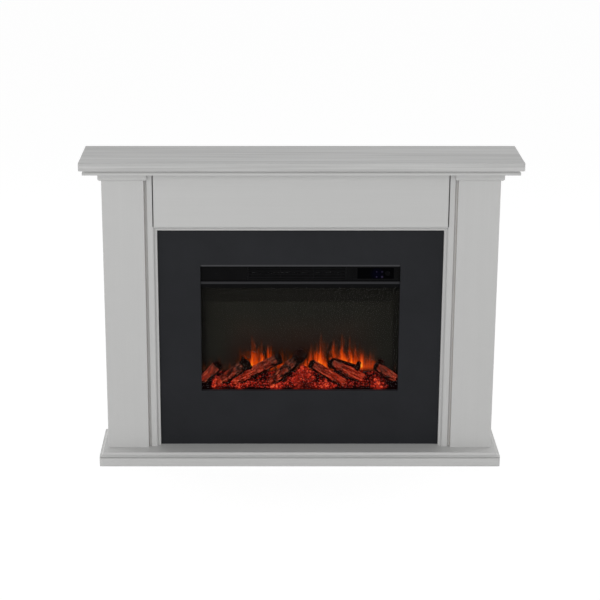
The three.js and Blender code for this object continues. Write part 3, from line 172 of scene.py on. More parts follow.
def piece(name, bm, material, replaces=None):
    """Makes a piece of a bmesh in place, on the body that stands still."""
    mesh = bpy.data.meshes.new(name)
    bm.to_mesh(mesh)
    bm.free()
    mesh.materials.append(material)
    made = bpy.data.objects.new(name, mesh)
    bpy.context.scene.collection.objects.link(made)
    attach(made, ROOT)
    if replaces:
        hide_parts(replaces)


# ------------------------------------------------------------------ settings


def colour_property(name, description, code):
    """A colour that a user can change, with a hex code as its default."""
    return FloatVectorProperty(
        name=name, description=description, size=4, subtype="COLOR", default=linear(code))


class StageSettings(bpy.types.PropertyGroup):
    """Camera, lamps and floor."""

    lens: FloatProperty(
        name="Lens", description="Focal length", default=106.146, min=20, unit="CAMERA")
    key_level: FloatProperty(
        name="Front lamp", description="Power of the broad front lamp", default=286, unit="POWER")
    sky_level: FloatProperty(
        name="Room light", description="Even light from all sides", default=0.485, min=0)
    side_level: FloatProperty(
        name="Side lamps", description="Power of each lamp beside", default=34, unit="POWER")
    floor_colour: colour_property("Floor", "Floor colour", "#F4F4F4")


class BoardSettings(bpy.types.PropertyGroup):
    """Finish of the wooden boards."""

    paint: colour_property("Paint", "White lacquer", "#D9D9D8")
    paint_streak: colour_property("Streak", "Lacquer over dark grain", "#ADADAC")
    charcoal: colour_property("Charcoal", "Panel paint", "#232427")
    grain_width: FloatProperty(
        name="Grain width", description="Across one streak of grain", default=0.006,
        subtype="DISTANCE")
    grain_length: FloatProperty(
        name="Grain length", description="Along one streak of grain", default=0.5,
        subtype="DISTANCE")


class InsertSettings(bpy.types.PropertyGroup):
    """Finish of the insert."""

    plastic: colour_property("Plastic", "Fascia and display bezel", "#0A0A0B")
    # Painted light: lighter than the fascia's black, for light the recessed slats do not get.
    grille: colour_property("Grille", "Outlet grille", "#151516")
    trim: colour_property("Top trim", "Anodised trim over the fascia", "#3F3F41")
    # Painted shade: the same anodised trim as the top one, drawn darker under the fascia.
    shaded_low_trim: colour_property("Low trim", "Anodised trim under the fascia", "#2F2F31")
    steel: colour_property("Casing", "Powder coat", "#161617")
    display_light: colour_property("Display", "Lit dots", "#C8B4FF")


class FireSettings(bpy.types.PropertyGroup):
    """Logs, embers and flames."""

    flame_foot: FloatProperty(
        name="Flame foot", description="Height where flames start", default=0.262, unit="LENGTH")
    flame_rise: FloatProperty(
        name="Flame rise", description="Height of the tallest flame", default=0.13, unit="LENGTH")
    glow: FloatProperty(
        name="Glow", description="Strength of all that is lit from inside", default=1, min=0)
    bark_depth: FloatProperty(
        name="Bark depth", description="Depth of the bark's furrows", default=0.0022,
        subtype="DISTANCE")
    coals: IntProperty(
        name="Coals", description="Loose coals on the bed", default=1500, min=0)
    coal_size: FloatProperty(
        name="Coal size", description="Across a typical coal", default=0.0075,
        subtype="DISTANCE")
    seed: IntProperty(name="Seed", description="Changes logs and coals", default=7)


# ------------------------------------------------------------------ board finishes

# Lacquered boards: the way their grain runs, how strongly it shows, and which they are.
WHITE_BOARDS = (
    ("X", 0.55, "open", ("mantel_shelf",)),
    ("X", 0.2, "half_filled", ("base_top_board", "base_skirt_front")),
    ("X", 0.05, "filled", ("header_panel", "bead_top", "shelf_moulding_front",
                           "left_leg_capital", "right_leg_capital")),
    ("Y", 0.2, "half_filled", ("base_skirt_left", "base_skirt_right")),
    ("Y", 0.05, "filled", ("shelf_moulding_left", "shelf_moulding_right")),
    ("Z", 0.04, "filled", ("left_leg_front", "left_leg_outer_side", "right_leg_front",
                           "right_leg_outer_side", "left_stile", "right_stile", "bead_left",
                           "bead_right")),
)
RAW_BOARDS = (
    "left_leg_inner_side", "right_leg_inner_side", "base_back_rail", "top_back_rail",
    "firebox_shelf",
)
# Usual tone from streak, 0, to paint, 1, and how far full grain pulls it down and up.
USUAL_TONE = 0.54
DARK_PULL = 0.65
LIGHT_PULL = 0.35


def painted_oak(tree, place, axis, grain):
    """White satin lacquer on oak veneer, over open, half filled or filled pores: a soft sheen,
    fine dents where the pores are, and grey streaks and broader tone bands along the grain."""
    settings = bpy.context.scene.fireplace_boards
    # True pores are 0.3 mm wide and would not show: streaks are 6 mm wide, dents 1.6 mm.
    fine = along(axis, settings.grain_length / MM, settings.grain_width / MM)
    streaks = stretched(tree, place, fine, 4, 0.62)
    bands = stretched(tree, place, along(axis, 900, 35), 3, 0.6)
    pores = stretched(tree, place, along(axis, 22, 1.6), 1)
    tone = add(tree, "Mix", {"Factor": 0.45, "A": streaks, "B": bands})
    spread = add(tree, "MapRange", {
        "Value": tone, "From Min": 0.38, "From Max": 0.62,
        "To Min": USUAL_TONE - DARK_PULL * grain, "To Max": USUAL_TONE + LIGHT_PULL * grain})
    colour = add(tree, "Mix", {
        "Factor": spread, "A": settings.paint_streak, "B": settings.paint}, data_type="RGBA")
    pits = add(tree, "ValToRGB", {"Fac": pores}, stops=((0.36, "#000000"), (0.46, "#FFFFFF")))
    relief = add(tree, "Mix", {"Factor": 0.4, "A": streaks, "B": pits})
    bump = add(tree, "Bump", {"Strength": 0.35 * grain, "Distance": 0.4 * MM, "Height": relief})
    sheen = add(tree, "MapRange", {
        "Value": streaks, **NOISE_SPAN, "To Min": 0.5, "To Max": 0.4})
    return add(tree, "BsdfPrincipled", {
        "Base Color": colour, "Roughness": sheen, "IOR": 1.5, "Normal": bump})


def charcoal_board(tree, place):
    """Matt charcoal paint rolled on fibreboard: almost no shine, a fine orange-peel skin and slow
    drift in tone where the paint lies thicker."""
    settings = bpy.context.scene.fireplace_boards
    drift = add(tree, "TexNoise", {"Vector": place, "Scale": repeats(111.11), "Detail": 3.0})
    return add(tree, "BsdfPrincipled", {
        "Base Color": uneven(tree, settings.charcoal, drift, 0.92, 1.1), "IOR": 1.45,
        "Specular IOR Level": 0.12, **skin(tree, place, 2.381, 2, 0.25, 0.3, 0.5, 0.6)})


def fibreboard(tree, place):
    """Bare medium-density fibreboard, sanded: felted pale brown fibres with darker flecks and no
    shine. Clumps are drawn 6 mm across and flecks 4 mm, because single fibres would not show."""
    felt = add(tree, "TexNoise", {
        "Vector": place, "Scale": repeats(6.25), "Detail": 5.0, "Roughness": 0.75,
        "Distortion": 0.6})
    flecks = add(tree, "TexVoronoi", {"Vector": place, "Scale": repeats(3.8462)})
    tone = add(tree, "ValToRGB", {"Fac": felt}, stops=(
        (0.3, "#94795A"), (0.5, "#AE9371"), (0.7, "#C0A887")))
    dark = add(tree, "MapRange", {
        "Value": flecks, "From Min": 0.0, "From Max": 0.25, "To Min": 0.3, "To Max": 0.0})
    colour = add(tree, "Mix", {
        "Factor": dark, "A": tone, "B": "#765D40"}, data_type="RGBA")
    bump = add(tree, "Bump", {"Strength": 0.5, "Distance": 0.3 * MM, "Height": felt})
    return add(tree, "BsdfPrincipled", {
        "Base Color": colour, "Roughness": 0.92, "Specular IOR Level": 0.2, "Normal": bump})


# ------------------------------------------------------------------ insert finishes


def moulded_plastic(tree, place, colour, specular, roughness):
    """Injection-moulded ABS or nylon with a spark-eroded texture: black, silky, its faint shine
    broken up by a grain drawn 1 mm across, because the true one of 0.1 mm would not show."""
    cloud = add(tree, "TexNoise", {"Vector": place, "Scale": repeats(33.333), "Detail": 2.0})
    return add(tree, "BsdfPrincipled", {
        "Base Color": uneven(tree, colour, cloud, 0.85, 1.15), "IOR": 1.53,
        "Specular IOR Level": specular,
        **skin(tree, place, 1.1111, 2, 0.3, 0.1, roughness - 0.06, roughness + 0.06)})


def brushed_metal(tree, place, colour, axis, roughness):
    """Metal drawn or rubbed along its length: scratches 50 mm long that blur its highlights across
    them and vary its tone. They are 0.6 mm wide, because true ones of 0.05 mm would not show."""
    lines = stretched(tree, place, along(axis, 50, 0.6), 3, 0.7)
    rough = add(tree, "MapRange", {
        "Value": lines, **NOISE_SPAN, "To Min": roughness + 0.07, "To Max": roughness - 0.07})
    bump = add(tree, "Bump", {"Strength": 0.2, "Distance": 0.08 * MM, "Height": lines})
    return add(tree, "BsdfPrincipled", {
        "Base Color": uneven(tree, colour, lines, 0.85, 1.12), "Metallic": 1.0,
        "Roughness": rough, "Normal": bump})


def powder_coat(tree, place):
    """Baked powder coat on sheet steel: black, satin, with an orange-peel skin 1.5 mm across."""
    settings = bpy.context.scene.fireplace_insert
    wear = add(tree, "TexNoise", {"Vector": place, "Scale": repeats(71.429), "Detail": 5.0})
    colour = add(tree, "ValToRGB", {"Fac": wear}, stops=(
        (0.35, settings.steel), (0.75, "#222223")))
    return add(tree, "BsdfPrincipled", {
        "Base Color": colour, "IOR": 1.5, "Specular IOR Level": 0.4,
        **skin(tree, place, 1.5385, 1, 0.35, 0.15, 0.42, 0.56)})


def galvanised_steel(tree, place):
    """Hot-dip galvanised sheet: crystals of zinc 8 mm across, each of its own grey and shine."""
    crystals = add(tree, "TexVoronoi", {"Vector": place, "Scale": repeats(8)})
    value = add(tree, "SeparateColor", {"Color": crystals.outputs["Color"]})
    colour = add(tree, "ValToRGB", {"Fac": value}, stops=(
        (0.0, "#8D9194"), (1.0, "#B4B8BB")))
    rough = add(tree, "MapRange", {"Value": value, "To Min": 0.34, "To Max": 0.5})
    return add(tree, "BsdfPrincipled", {
        "Base Color": colour, "Metallic": 1.0, "Roughness": rough})


def fire_glass(tree, place):
    """Toughened float glass with an anti-glare coat: nearly clear, with only a thin shine that
    grows at a slant and the finest smears in it."""
    smears = add(tree, "TexNoise", {"Vector": place, "Scale": repeats(142.86), "Detail": 4.0})
    rough = add(tree, "MapRange", {"Value": smears, **NOISE_SPAN, "To Min": 0.04, "To Max": 0.09})
    clear = add(tree, "BsdfTransparent", {"Color": "#F7F7F4"})
    shine = add(tree, "BsdfGlossy", {"Color": "#F4F5F7", "Roughness": rough})
    share = add(tree, "Fresnel", {"IOR": 1.09})
    return add(tree, "MixShader", {0: share, 1: clear, 2: shine})


def circuit_laminate(tree, place):
    """Glass-epoxy circuit board: green lacquer, paler tracks 2.5 mm apart and tinned joints."""
    tracks = add(tree, "TexBrick", {
        "Vector": place, "Scale": repeats(10), "Color1": "#000000", "Color2": "#000000",
        "Mortar": "#FFFFFF", "Mortar Size": 0.04, "Brick Width": 0.9, "Row Height": 0.25})
    joints = add(tree, "TexVoronoi", {"Vector": place, "Scale": repeats(6.6667)})
    tin = add(tree, "Math", {0: joints, 1: 0.16}, operation="LESS_THAN")
    green = add(tree, "Mix", {
        "Factor": tracks, "A": "#0E4A2A", "B": "#2C7A4B"}, data_type="RGBA")
    colour = add(tree, "Mix", {
        "Factor": tin, "A": green, "B": "#B9BCBE"}, data_type="RGBA")
    return add(tree, "BsdfPrincipled", {
        "Base Color": colour, "Metallic": tin, "Roughness": 0.35, "IOR": 1.55})


def heater_ceramic(tree, place):
    """Unglazed steatite with fine speckles and pits, matt, drawn black-brown as painted shade for
    the dim heater bay behind the grille.
    """
    speckle = add(tree, "TexNoise", {"Vector": place, "Scale": repeats(2), "Detail": 3.0})
    colour = add(tree, "ValToRGB", {"Fac": speckle}, stops=(
        (0.35, "#0C0B0A"), (0.6, "#161412")))
    bump = add(tree, "Bump", {"Strength": 0.4, "Distance": 0.2 * MM, "Height": speckle})
    return add(tree, "BsdfPrincipled", {
        "Base Color": colour, "Roughness": 0.85, "Specular IOR Level": 0.05, "Normal": bump})


# Lit dots: right of and up from the window's middle, radius, all in millimetres, and strength.
LED_DOTS = (
    (3.0, 4.4, 1.3, 0.030), (3.0, -11.9, 1.4, 0.044),
    (19.8, 4.4, 2.0, 0.020), (19.8, -11.9, 2.3, 0.034),
)
# The dim pool of their light: right and up, inner and outer radius in millimetres, and strength.
LED_POOL = (4, -3, 4, 26, 0.006)


def display_acrylic(tree, place):
    """Cast black acrylic, polished: deep black, with four small lamps glowing violet through it
    and a dim blue pool of light to their left."""
    settings = bpy.context.scene.fireplace_insert
    low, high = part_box("display_window")
    middle = (low + high) / 2
    dots = [(right, up, size * 0.7, size * 2.1, level) for right, up, size, level in LED_DOTS]
    lights = []
    for right, up, inner, outer, level in (*dots, LED_POOL):
        spot = (middle.x + right * MM, low.y, middle.z + up * MM)
        away = add(tree, "VectorMath", {0: place, 1: spot}, operation="DISTANCE")
        lights.append(add(tree, "MapRange", {
            "Value": away, "From Min": inner * MM, "From Max": outer * MM, "To Min": level,
            "To Max": 0.0}, interpolation_type="SMOOTHSTEP"))
    *lit, dim = lights
    glow = lit[0]
    for dot in lit[1:]:
        glow = add(tree, "Math", {0: glow, 1: dot}, operation="ADD")
    violet = add(tree, "VectorMath", {
        0: settings.display_light[:3], "Scale": glow}, operation="SCALE")
    deep = add(tree, "VectorMath", {0: linear("#2A2AC8")[:3], "Scale": dim}, operation="SCALE")
    light = add(tree, "VectorMath", {0: violet, 1: deep}, operation="ADD")
    dust = add(tree, "TexNoise", {"Vector": place, "Scale": repeats(3.8462), "Detail": 2.0})
    rough = add(tree, "MapRange", {"Value": dust, **NOISE_SPAN, "To Min": 0.06, "To Max": 0.12})
    return add(tree, "BsdfPrincipled", {
        "Base Color": "#020203", "Roughness": rough, "IOR": 1.49,
        "Specular IOR Level": 0.01, "Emission Color": light, "Emission Strength": 1.0})


# ------------------------------------------------------------------ flames

# Place along the screen in metres, flame height and heat, each from 0 to 1.
FLAMES = (
    (-0.200, 0.20, 0.0), (-0.181, 0.62, 0.2), (-0.166, 0.42, 0.25), (-0.147, 0.98, 0.6),
    (-0.135, 0.62, 1.0), (-0.121, 0.93, 0.9), (-0.108, 0.52, 0.5), (-0.094, 0.80, 0.5),
    (-0.072, 0.34, 0.3), (-0.052, 0.64, 0.5), (-0.045, 0.45, 0.5), (-0.030, 0.54, 0.4),
    (-0.004, 0.28, 0.2), (0.017, 0.66, 0.8), (0.026, 0.44, 1.0), (0.035, 0.74, 0.9),
    (0.043, 0.52, 0.7), (0.052, 0.80, 0.7), (0.067, 1.00, 0.7), (0.084, 0.80, 0.6),
    (0.094, 0.34, 0.4), (0.107, 0.92, 0.7), (0.120, 0.62, 0.5), (0.137, 0.98, 0.5),
    (0.150, 0.66, 0.5), (0.160, 0.90, 0.6), (0.179, 0.72, 0.9), (0.197, 0.80, 1.0),
    (0.214, 0.56, 0.6), (0.231, 0.60, 0.3), (0.240, 0.30, 0.2), (0.262, 0.05, 0.0),
)
FLAME_HALF_SPAN = 0.3
FLAME_SWAY = 0.007
# Heights between which the embers stop hiding the flames, the haze dies out and the painted
# shade low on the screen lifts, and places from the middle between which haze and that shade end.
EMBER_LINE = (0.256, 0.276)
HAZE_TOP = (0.325, 0.455)
LOW_SHADE_LINE = (0.31, 0.41)
HAZE_ENDS = (0.16, 0.27)
HAZE_RED = (0.020, 0.0036, 0.0012)
# Painted shade along the sides and top: full from the screen's edge to the first distance, gone at
# the second.
SIDE_SHADE_BAND = (0.0235, 0.0265)
TOP_SHADE_BAND = (0.0596, 0.0636)


def tongues(tree, place, x, z):
    """The light of the flames: sharp-tipped orange tongues over yellow cores."""
    settings = bpy.context.scene.fireplace_fire
    # Waves 45 mm high bend the tongues to each side as they rise.
    bend = stretched(tree, place, (repeats(38.462), 0, repeats(45.455)), 2)
    shift = add(tree, "MapRange", {
        "Value": bend, **NOISE_SPAN, "To Min": -FLAME_SWAY, "To Max": FLAME_SWAY})
    swayed = add(tree, "Math", {0: x, 1: shift}, operation="ADD")
    across = add(tree, "MapRange", {
        "Value": swayed, "From Min": -FLAME_HALF_SPAN, "From Max": FLAME_HALF_SPAN})
    row = add(tree, "ValToRGB", {"Fac": across}, stops=[
        ((at + FLAME_HALF_SPAN) / (2 * FLAME_HALF_SPAN), (tall, heat, 0, 1))
        for at, tall, heat in FLAMES])
    row.color_ramp.interpolation = "EASE"
    tall, heat, _ = add(tree, "SeparateColor", {0: row}).outputs
    # Upright strands 8 mm apart make the tongues ragged.
    strands = stretched(tree, place, (repeats(8), 0, repeats(90.909)), 2)
    ragged = add(tree, "MapRange", {
        "Value": strands, **NOISE_SPAN, "To Min": -0.22, "To Max": 0.24})
    rise = add(tree, "MapRange", {
        "Value": z, "From Min": settings.flame_foot,
        "From Max": settings.flame_foot + settings.flame_rise}, clamp=False)
    above = add(tree, "Math", {0: tall, 1: rise}, operation="SUBTRACT")
    body = add(tree, "Math", {0: above, 1: ragged}, operation="ADD")
    # Hot cores sit low in each group.
    core = add(tree, "MapRange", {
        "Value": rise, "From Min": 0.05, "From Max": 0.6, "To Min": 0.22, "To Max": -0.1})
    extra = add(tree, "Math", {0: heat, 1: core}, operation="MULTIPLY")
    both = add(tree, "Math", {0: body, 1: extra}, operation="ADD", use_clamp=True)
    shown = add(tree, "MapRange", {
        "Value": z, "From Min": EMBER_LINE[0], "From Max": EMBER_LINE[1]})
    level = add(tree, "Math", {0: both, 1: shown}, operation="MULTIPLY")
    return add(tree, "ValToRGB", {"Fac": level}, stops=(
        (0.0, "#000000"), (0.12, "#240C00"), (0.3, "#501700"),
        (0.5, "#A02C00"), (0.7, "#D84604"), (0.85, "#FF680E"),
        (0.95, "#FF8C20"), (1.0, "#FFB038")))


def flame_sheet(tree, place):
    """Smoked polycarbonate, frosted at the back, on which a lamp throws moving flames: dark
    brown-grey where unlit, with painted shade along its sides and top and low down behind the
    flames, and a dull red haze above the flames that dies out upwards and at both ends."""
    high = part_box("flame_screen")[1]
    x, _, z = add(tree, "SeparateXYZ", {0: place}).outputs
    wide = add(tree, "Math", {0: x}, operation="ABSOLUTE")
    middle = add(tree, "MapRange", {
        "Value": wide, "From Min": HAZE_ENDS[0], "From Max": HAZE_ENDS[1], "To Min": 1.0,
        "To Max": 0.0}, interpolation_type="SMOOTHSTEP")
    cloud = stretched(tree, place, (repeats(111.11), 0, repeats(111.11)), 2)
    fade = add(tree, "MapRange", {
        "Value": z, "From Min": HAZE_TOP[0], "From Max": HAZE_TOP[1], "To Min": 1.0,
        "To Max": 0.0})
    haze = add(tree, "Math", {0: fade, 1: middle}, operation="MULTIPLY")
    thick = add(tree, "Math", {0: haze, 1: cloud}, operation="MULTIPLY")
    red = add(tree, "VectorMath", {0: HAZE_RED, "Scale": thick}, operation="SCALE")
    light = add(tree, "VectorMath", {0: tongues(tree, place, x, z), 1: red}, operation="ADD")
    edge = add(tree, "MapRange", {
        "Value": wide, "From Min": high.x - SIDE_SHADE_BAND[1], "From Max": high.x - SIDE_SHADE_BAND[0]})
    lid = add(tree, "MapRange", {
        "Value": z, "From Min": high.z - TOP_SHADE_BAND[1], "From Max": high.z - TOP_SHADE_BAND[0]})
    edge_and_top_shade = add(tree, "Math", {0: edge, 1: lid}, operation="MAXIMUM")
    # Painted shade: the screen's grey is drawn darker along its sides and top.
    tint = add(tree, "Mix", {
        "Factor": edge_and_top_shade, "A": "#252421", "B": "#1A1917"}, data_type="RGBA")
    # Painted shade: the screen's grey darkens towards its foot, in the middle only, behind the
    # flames.
    low_shade = add(tree, "MapRange", {
        "Value": z, "From Min": LOW_SHADE_LINE[0], "From Max": LOW_SHADE_LINE[1], "To Min": 0.1})
    low_shade_in_middle = add(tree, "Mix", {"Factor": middle, "A": 1.0, "B": low_shade})
    shade = add(tree, "VectorMath", {0: tint, "Scale": low_shade_in_middle}, operation="SCALE")
    # The true frosting, 0.1 mm, would not show.
    frost = add(tree, "TexNoise", {"Vector": place, "Scale": repeats(1.4286), "Detail": 1.0})
    bump = add(tree, "Bump", {"Strength": 0.1, "Distance": 0.1 * MM, "Height": frost})
    return add(tree, "BsdfPrincipled", {
        "Base Color": shade, "Roughness": 0.6, "IOR": 1.58, "Specular IOR Level": 0.03,
        "Emission Color": light,
        "Emission Strength": bpy.context.scene.fireplace_fire.glow, "Normal": bump})


# ------------------------------------------------------------------ logs and embers


def log_finish(tree, place):
    """Cast resin logs with a lamp inside, painted as burnt bark: they glow red near the foot and
    dim to brown at the head, paler along the ridges, with painted shade below, and soot on the
    crest and on broken ends."""
    soot = add(tree, "Attribute", attribute_name="soot").outputs["Fac"]
    heat = add(tree, "Attribute", attribute_name="warmth").outputs["Fac"]
    # Furrows 5 mm apart run along the log. Each log's pattern starts half a metre from the last,
    # so these sizes are exact.
    furrows = stretched(tree, place, along("Z", 1000 / 34, 1000 / 190), 4, 0.65, 0.5)
    patches = add(tree, "TexNoise", {"Vector": place, "Scale": repeats(1000 / 70), "Detail": 3.0})
    cracks = add(tree, "TexVoronoi", {
        "Vector": place, "Scale": repeats(1000 / 95)}, feature="DISTANCE_TO_EDGE")
    hot = add(tree, "ValToRGB", {"Fac": furrows}, stops=(
        (0.34, "#2A0804"), (0.44, "#761A0D"), (0.53, "#B0301C"),
        (0.61, "#DA5034"), (0.72, "#FF9A5C")))
    dim = add(tree, "ValToRGB", {"Fac": furrows}, stops=(
        (0.34, "#120A07"), (0.45, "#3C1F17"), (0.57, "#5E362B"),
        (0.72, "#866050")))
    mottle = add(tree, "MapRange", {
        "Value": patches, **NOISE_CORE, "To Min": -0.3, "To Max": 0.3})
    warmth = add(tree, "Math", {0: heat, 1: mottle}, operation="ADD", use_clamp=True)
    glow = add(tree, "Mix", {"Factor": warmth, "A": dim, "B": hot}, data_type="RGBA")
    burnt = add(tree, "MapRange", {
        "Value": patches, **NOISE_CORE, "To Min": 0.25, "To Max": -0.25})
    covered = add(tree, "Math", {0: soot, 1: burnt}, operation="ADD")
    cover = add(tree, "MapRange", {
        "Value": covered, "From Min": 0.2, "From Max": 0.7, "To Min": 1.0, "To Max": 0.03},
        interpolation_type="SMOOTHSTEP")
    split = add(tree, "MapRange", {
        "Value": cracks, "From Min": 0.0, "From Max": 0.12, "To Min": 0.35, "To Max": 1.0})
    strength = add(tree, "Math", {0: cover, 1: split}, operation="MULTIPLY")
    light = add(tree, "VectorMath", {0: glow, "Scale": strength}, operation="SCALE")
    paint = add(tree, "ValToRGB", {"Fac": furrows}, stops=(
        (0.35, "#070504"), (0.6, "#130D0B"), (0.75, "#261B18")))
    relief = add(tree, "Math", {0: furrows, 1: split}, operation="MULTIPLY")
    bump = add(tree, "Bump", {"Strength": 0.7, "Distance": 1.5 * MM, "Height": relief})
    return add(tree, "BsdfPrincipled", {
        "Base Color": paint, "Roughness": 0.9, "Specular IOR Level": 0.01,
        "Emission Color": light,
        "Emission Strength": bpy.context.scene.fireplace_fire.glow, "Normal": bump})


def ember_finish(tree, place):
    """Cast resin coals lit from below: orange where thin, deep red on their shoulders, black in
    the cracks between them, each coal with its own heat and a grain of 4 mm."""
    heat = add(tree, "Attribute", attribute_name="warmth").outputs["Fac"]
    grain = add(tree, "TexNoise", {
        "Vector": place, "Scale": repeats(4.3478), "Detail": 4.0, "Roughness": 0.7})
    slow = add(tree, "TexNoise", {"Vector": place, "Scale": repeats(33.333), "Detail": 3.0})
    spots = add(tree, "MapRange", {"Value": grain, **NOISE_SPAN, "To Min": -0.3, "To Max": 0.3})
    pools = add(tree, "MapRange", {
        "Value": slow, **NOISE_CORE, "To Min": -0.14, "To Max": 0.14})
    warm = add(tree, "Math", {0: heat, 1: spots}, operation="ADD")
    level = add(tree, "Math", {0: warm, 1: pools}, operation="ADD", use_clamp=True)
    light = add(tree, "ValToRGB", {"Fac": level}, stops=(
        (0.08, "#0A0203"), (0.25, "#300806"), (0.45, "#6A140D"),
        (0.65, "#A3241A"), (0.82, "#CC3323"), (0.97, "#EE5C36")))
    bump = add(tree, "Bump", {"Strength": 0.6, "Distance": 1 * MM, "Height": grain})
    return add(tree, "BsdfPrincipled", {
        "Base Color": "#0A0504", "Roughness": 0.9, "Specular IOR Level": 0.0,
        "Emission Color": light,
        "Emission Strength": bpy.context.scene.fireplace_fire.glow, "Normal": bump})


# Foot and head as places across and up in millimetres, radius, how far back the middle line lies,
# how much of the head is charred, how far the head flares, how hot the foot and the head glow, how
# much its glow is darkened all over, and how much soot lies on the crest.
Log = namedtuple("Log", "foot head radius back char flare hot soot crest")
LOGS = (
    Log((-300, 243), (-254, 295), 16.5, 17, 0.1, 0.1, (0.6, 0.2), 0.2, 0),
    Log((-256, 229), (-164, 298), 17, 21, 0.12, 0.5, (0.9, -0.3), 0.36, 0.3),
    Log((-204, 235), (-62, 312), 17.5, 25, 0.06, 0.1, (1.2, 0.1), 0.04, 0),
    Log((-90, 230), (5, 322), 17.5, 22, 0.14, 0.1, (0.7, -0.3), 0.42, 0.5),
    Log((138, 231), (36, 297), 16, 17, 0.05, 0.05, (1.5, 0.3), -0.1, 0.5),
    Log((196, 244), (98, 297), 17.5, 27, 0.04, 0.05, (1.5, 0.2), -0.08, 0.75),
    Log((299, 246), (240, 288), 15, 22, 0.06, 0.08, (0.5, 0.3), 0.04, 0.8),
)
# Side growths: on which log, where along it, how far above its middle, which way they point,
# length and radius in millimetres, and how much is charred.
Stub = namedtuple("Stub", "log at lift way length radius char")
STUBS = (
    Stub(6, 0.20, 10, (0.3, 0.1, 1.0), 28, 7, 1.4),
    Stub(6, 0.97, 12, (1.0, 0.1, -0.36), 86, 7.5, 1.4),
    Stub(7, 0.80, 0, (0.12, 0.4, 1.0), 20, 10, 1.4),
    Stub(4, 0.99, 4, (0.0, -1.0, 0.2), 9, 19.5, 1.4),
    Stub(5, 0.10, 4, (-0.82, 0.28, 0.6), 68, 5.5, 0.05),
)
# Sides and rings of a log's mesh and of a stub's.
LOG_MESH = (44, 52)
STUB_MESH = (16, 14)
# How fast knots, furrows and splinters come, per metre.
KNOTS = 45
FURROWS_AROUND = 210
FURROWS_ALONG = 26
SPLINTERS = 160
FINE_SPLINTERS = 420
# As shares of a log's radius: its foot, how much its middle swells and its head thins, how deep
# knots are, how far its ends stand out and how deep their splinters are, and the rings in an end.
FOOT_WIDTH = 0.93
BELLY = 0.10
TAPER = 0.06
KNOT_DEPTH = 0.11
DOME = 0.35
SPLINTER_DEPTH = 0.3
FINE_SPLINTER_DEPTH = 0.14
END_RINGS = (0.16, 0.2, 0.22)
# As shares of a log's length: what counts as its end, and where its flare starts and is full.
END_SHARE = 0.012
FLARE_SPAN = (0.82, 0.97)
# How steeply a surface faces up, where soot on the crest starts and is full, or down, where
# painted shade below starts and is full.
CREST_SLOPE = (0.62, 0.9)
UNDERSIDE_SHADE_SLOPE = (0.0, 0.45)
# How much further back a log's head lies than its foot, in millimetres. How far out in its log a
# stub is rooted, as a share of the log's radius, and a stub's flare and heat.
HEAD_LEAN = 4
STUB_ROOT = 0.4
STUB_FLARE = 0.15
STUB_HEAT = (0.9, 0.5)
STUB_SEED = 40


def rough(point, scale, seed):
    """A smooth noise value at a place, from -1 to 1."""
    return noise.noise(point * scale + Vector((seed * 3.7, seed * 1.3, seed * 7.9)))


def ramp(value, low, high):
    """Where a value lies between two others, held between 0 and 1."""
    return min(max((value - low) / (high - low), 0), 1)


def upright_log(length, radius, sides, rings):
    """A closed tube standing on its foot, with rings along it and in its ends."""
    bm = bmesh.new()
    bmesh.ops.create_cone(bm, cap_ends=True, cap_tris=False, segments=sides, radius1=radius,
                          radius2=radius, depth=length)
    tall = [e for e in bm.edges if abs(e.verts[0].co.z - e.verts[1].co.z) > length / 2]
    bmesh.ops.subdivide_edges(bm, edges=tall, cuts=rings, use_grid_fill=True)
    caps = [f for f in bm.faces if len(f.verts) > 4]
    for share in END_RINGS:
        bmesh.ops.inset_region(bm, faces=caps, thickness=radius * share, use_even_offset=True)
    bmesh.ops.poke(bm, faces=caps)
    bmesh.ops.translate(bm, verts=bm.verts, vec=(0, 0, length / 2))
    return bm


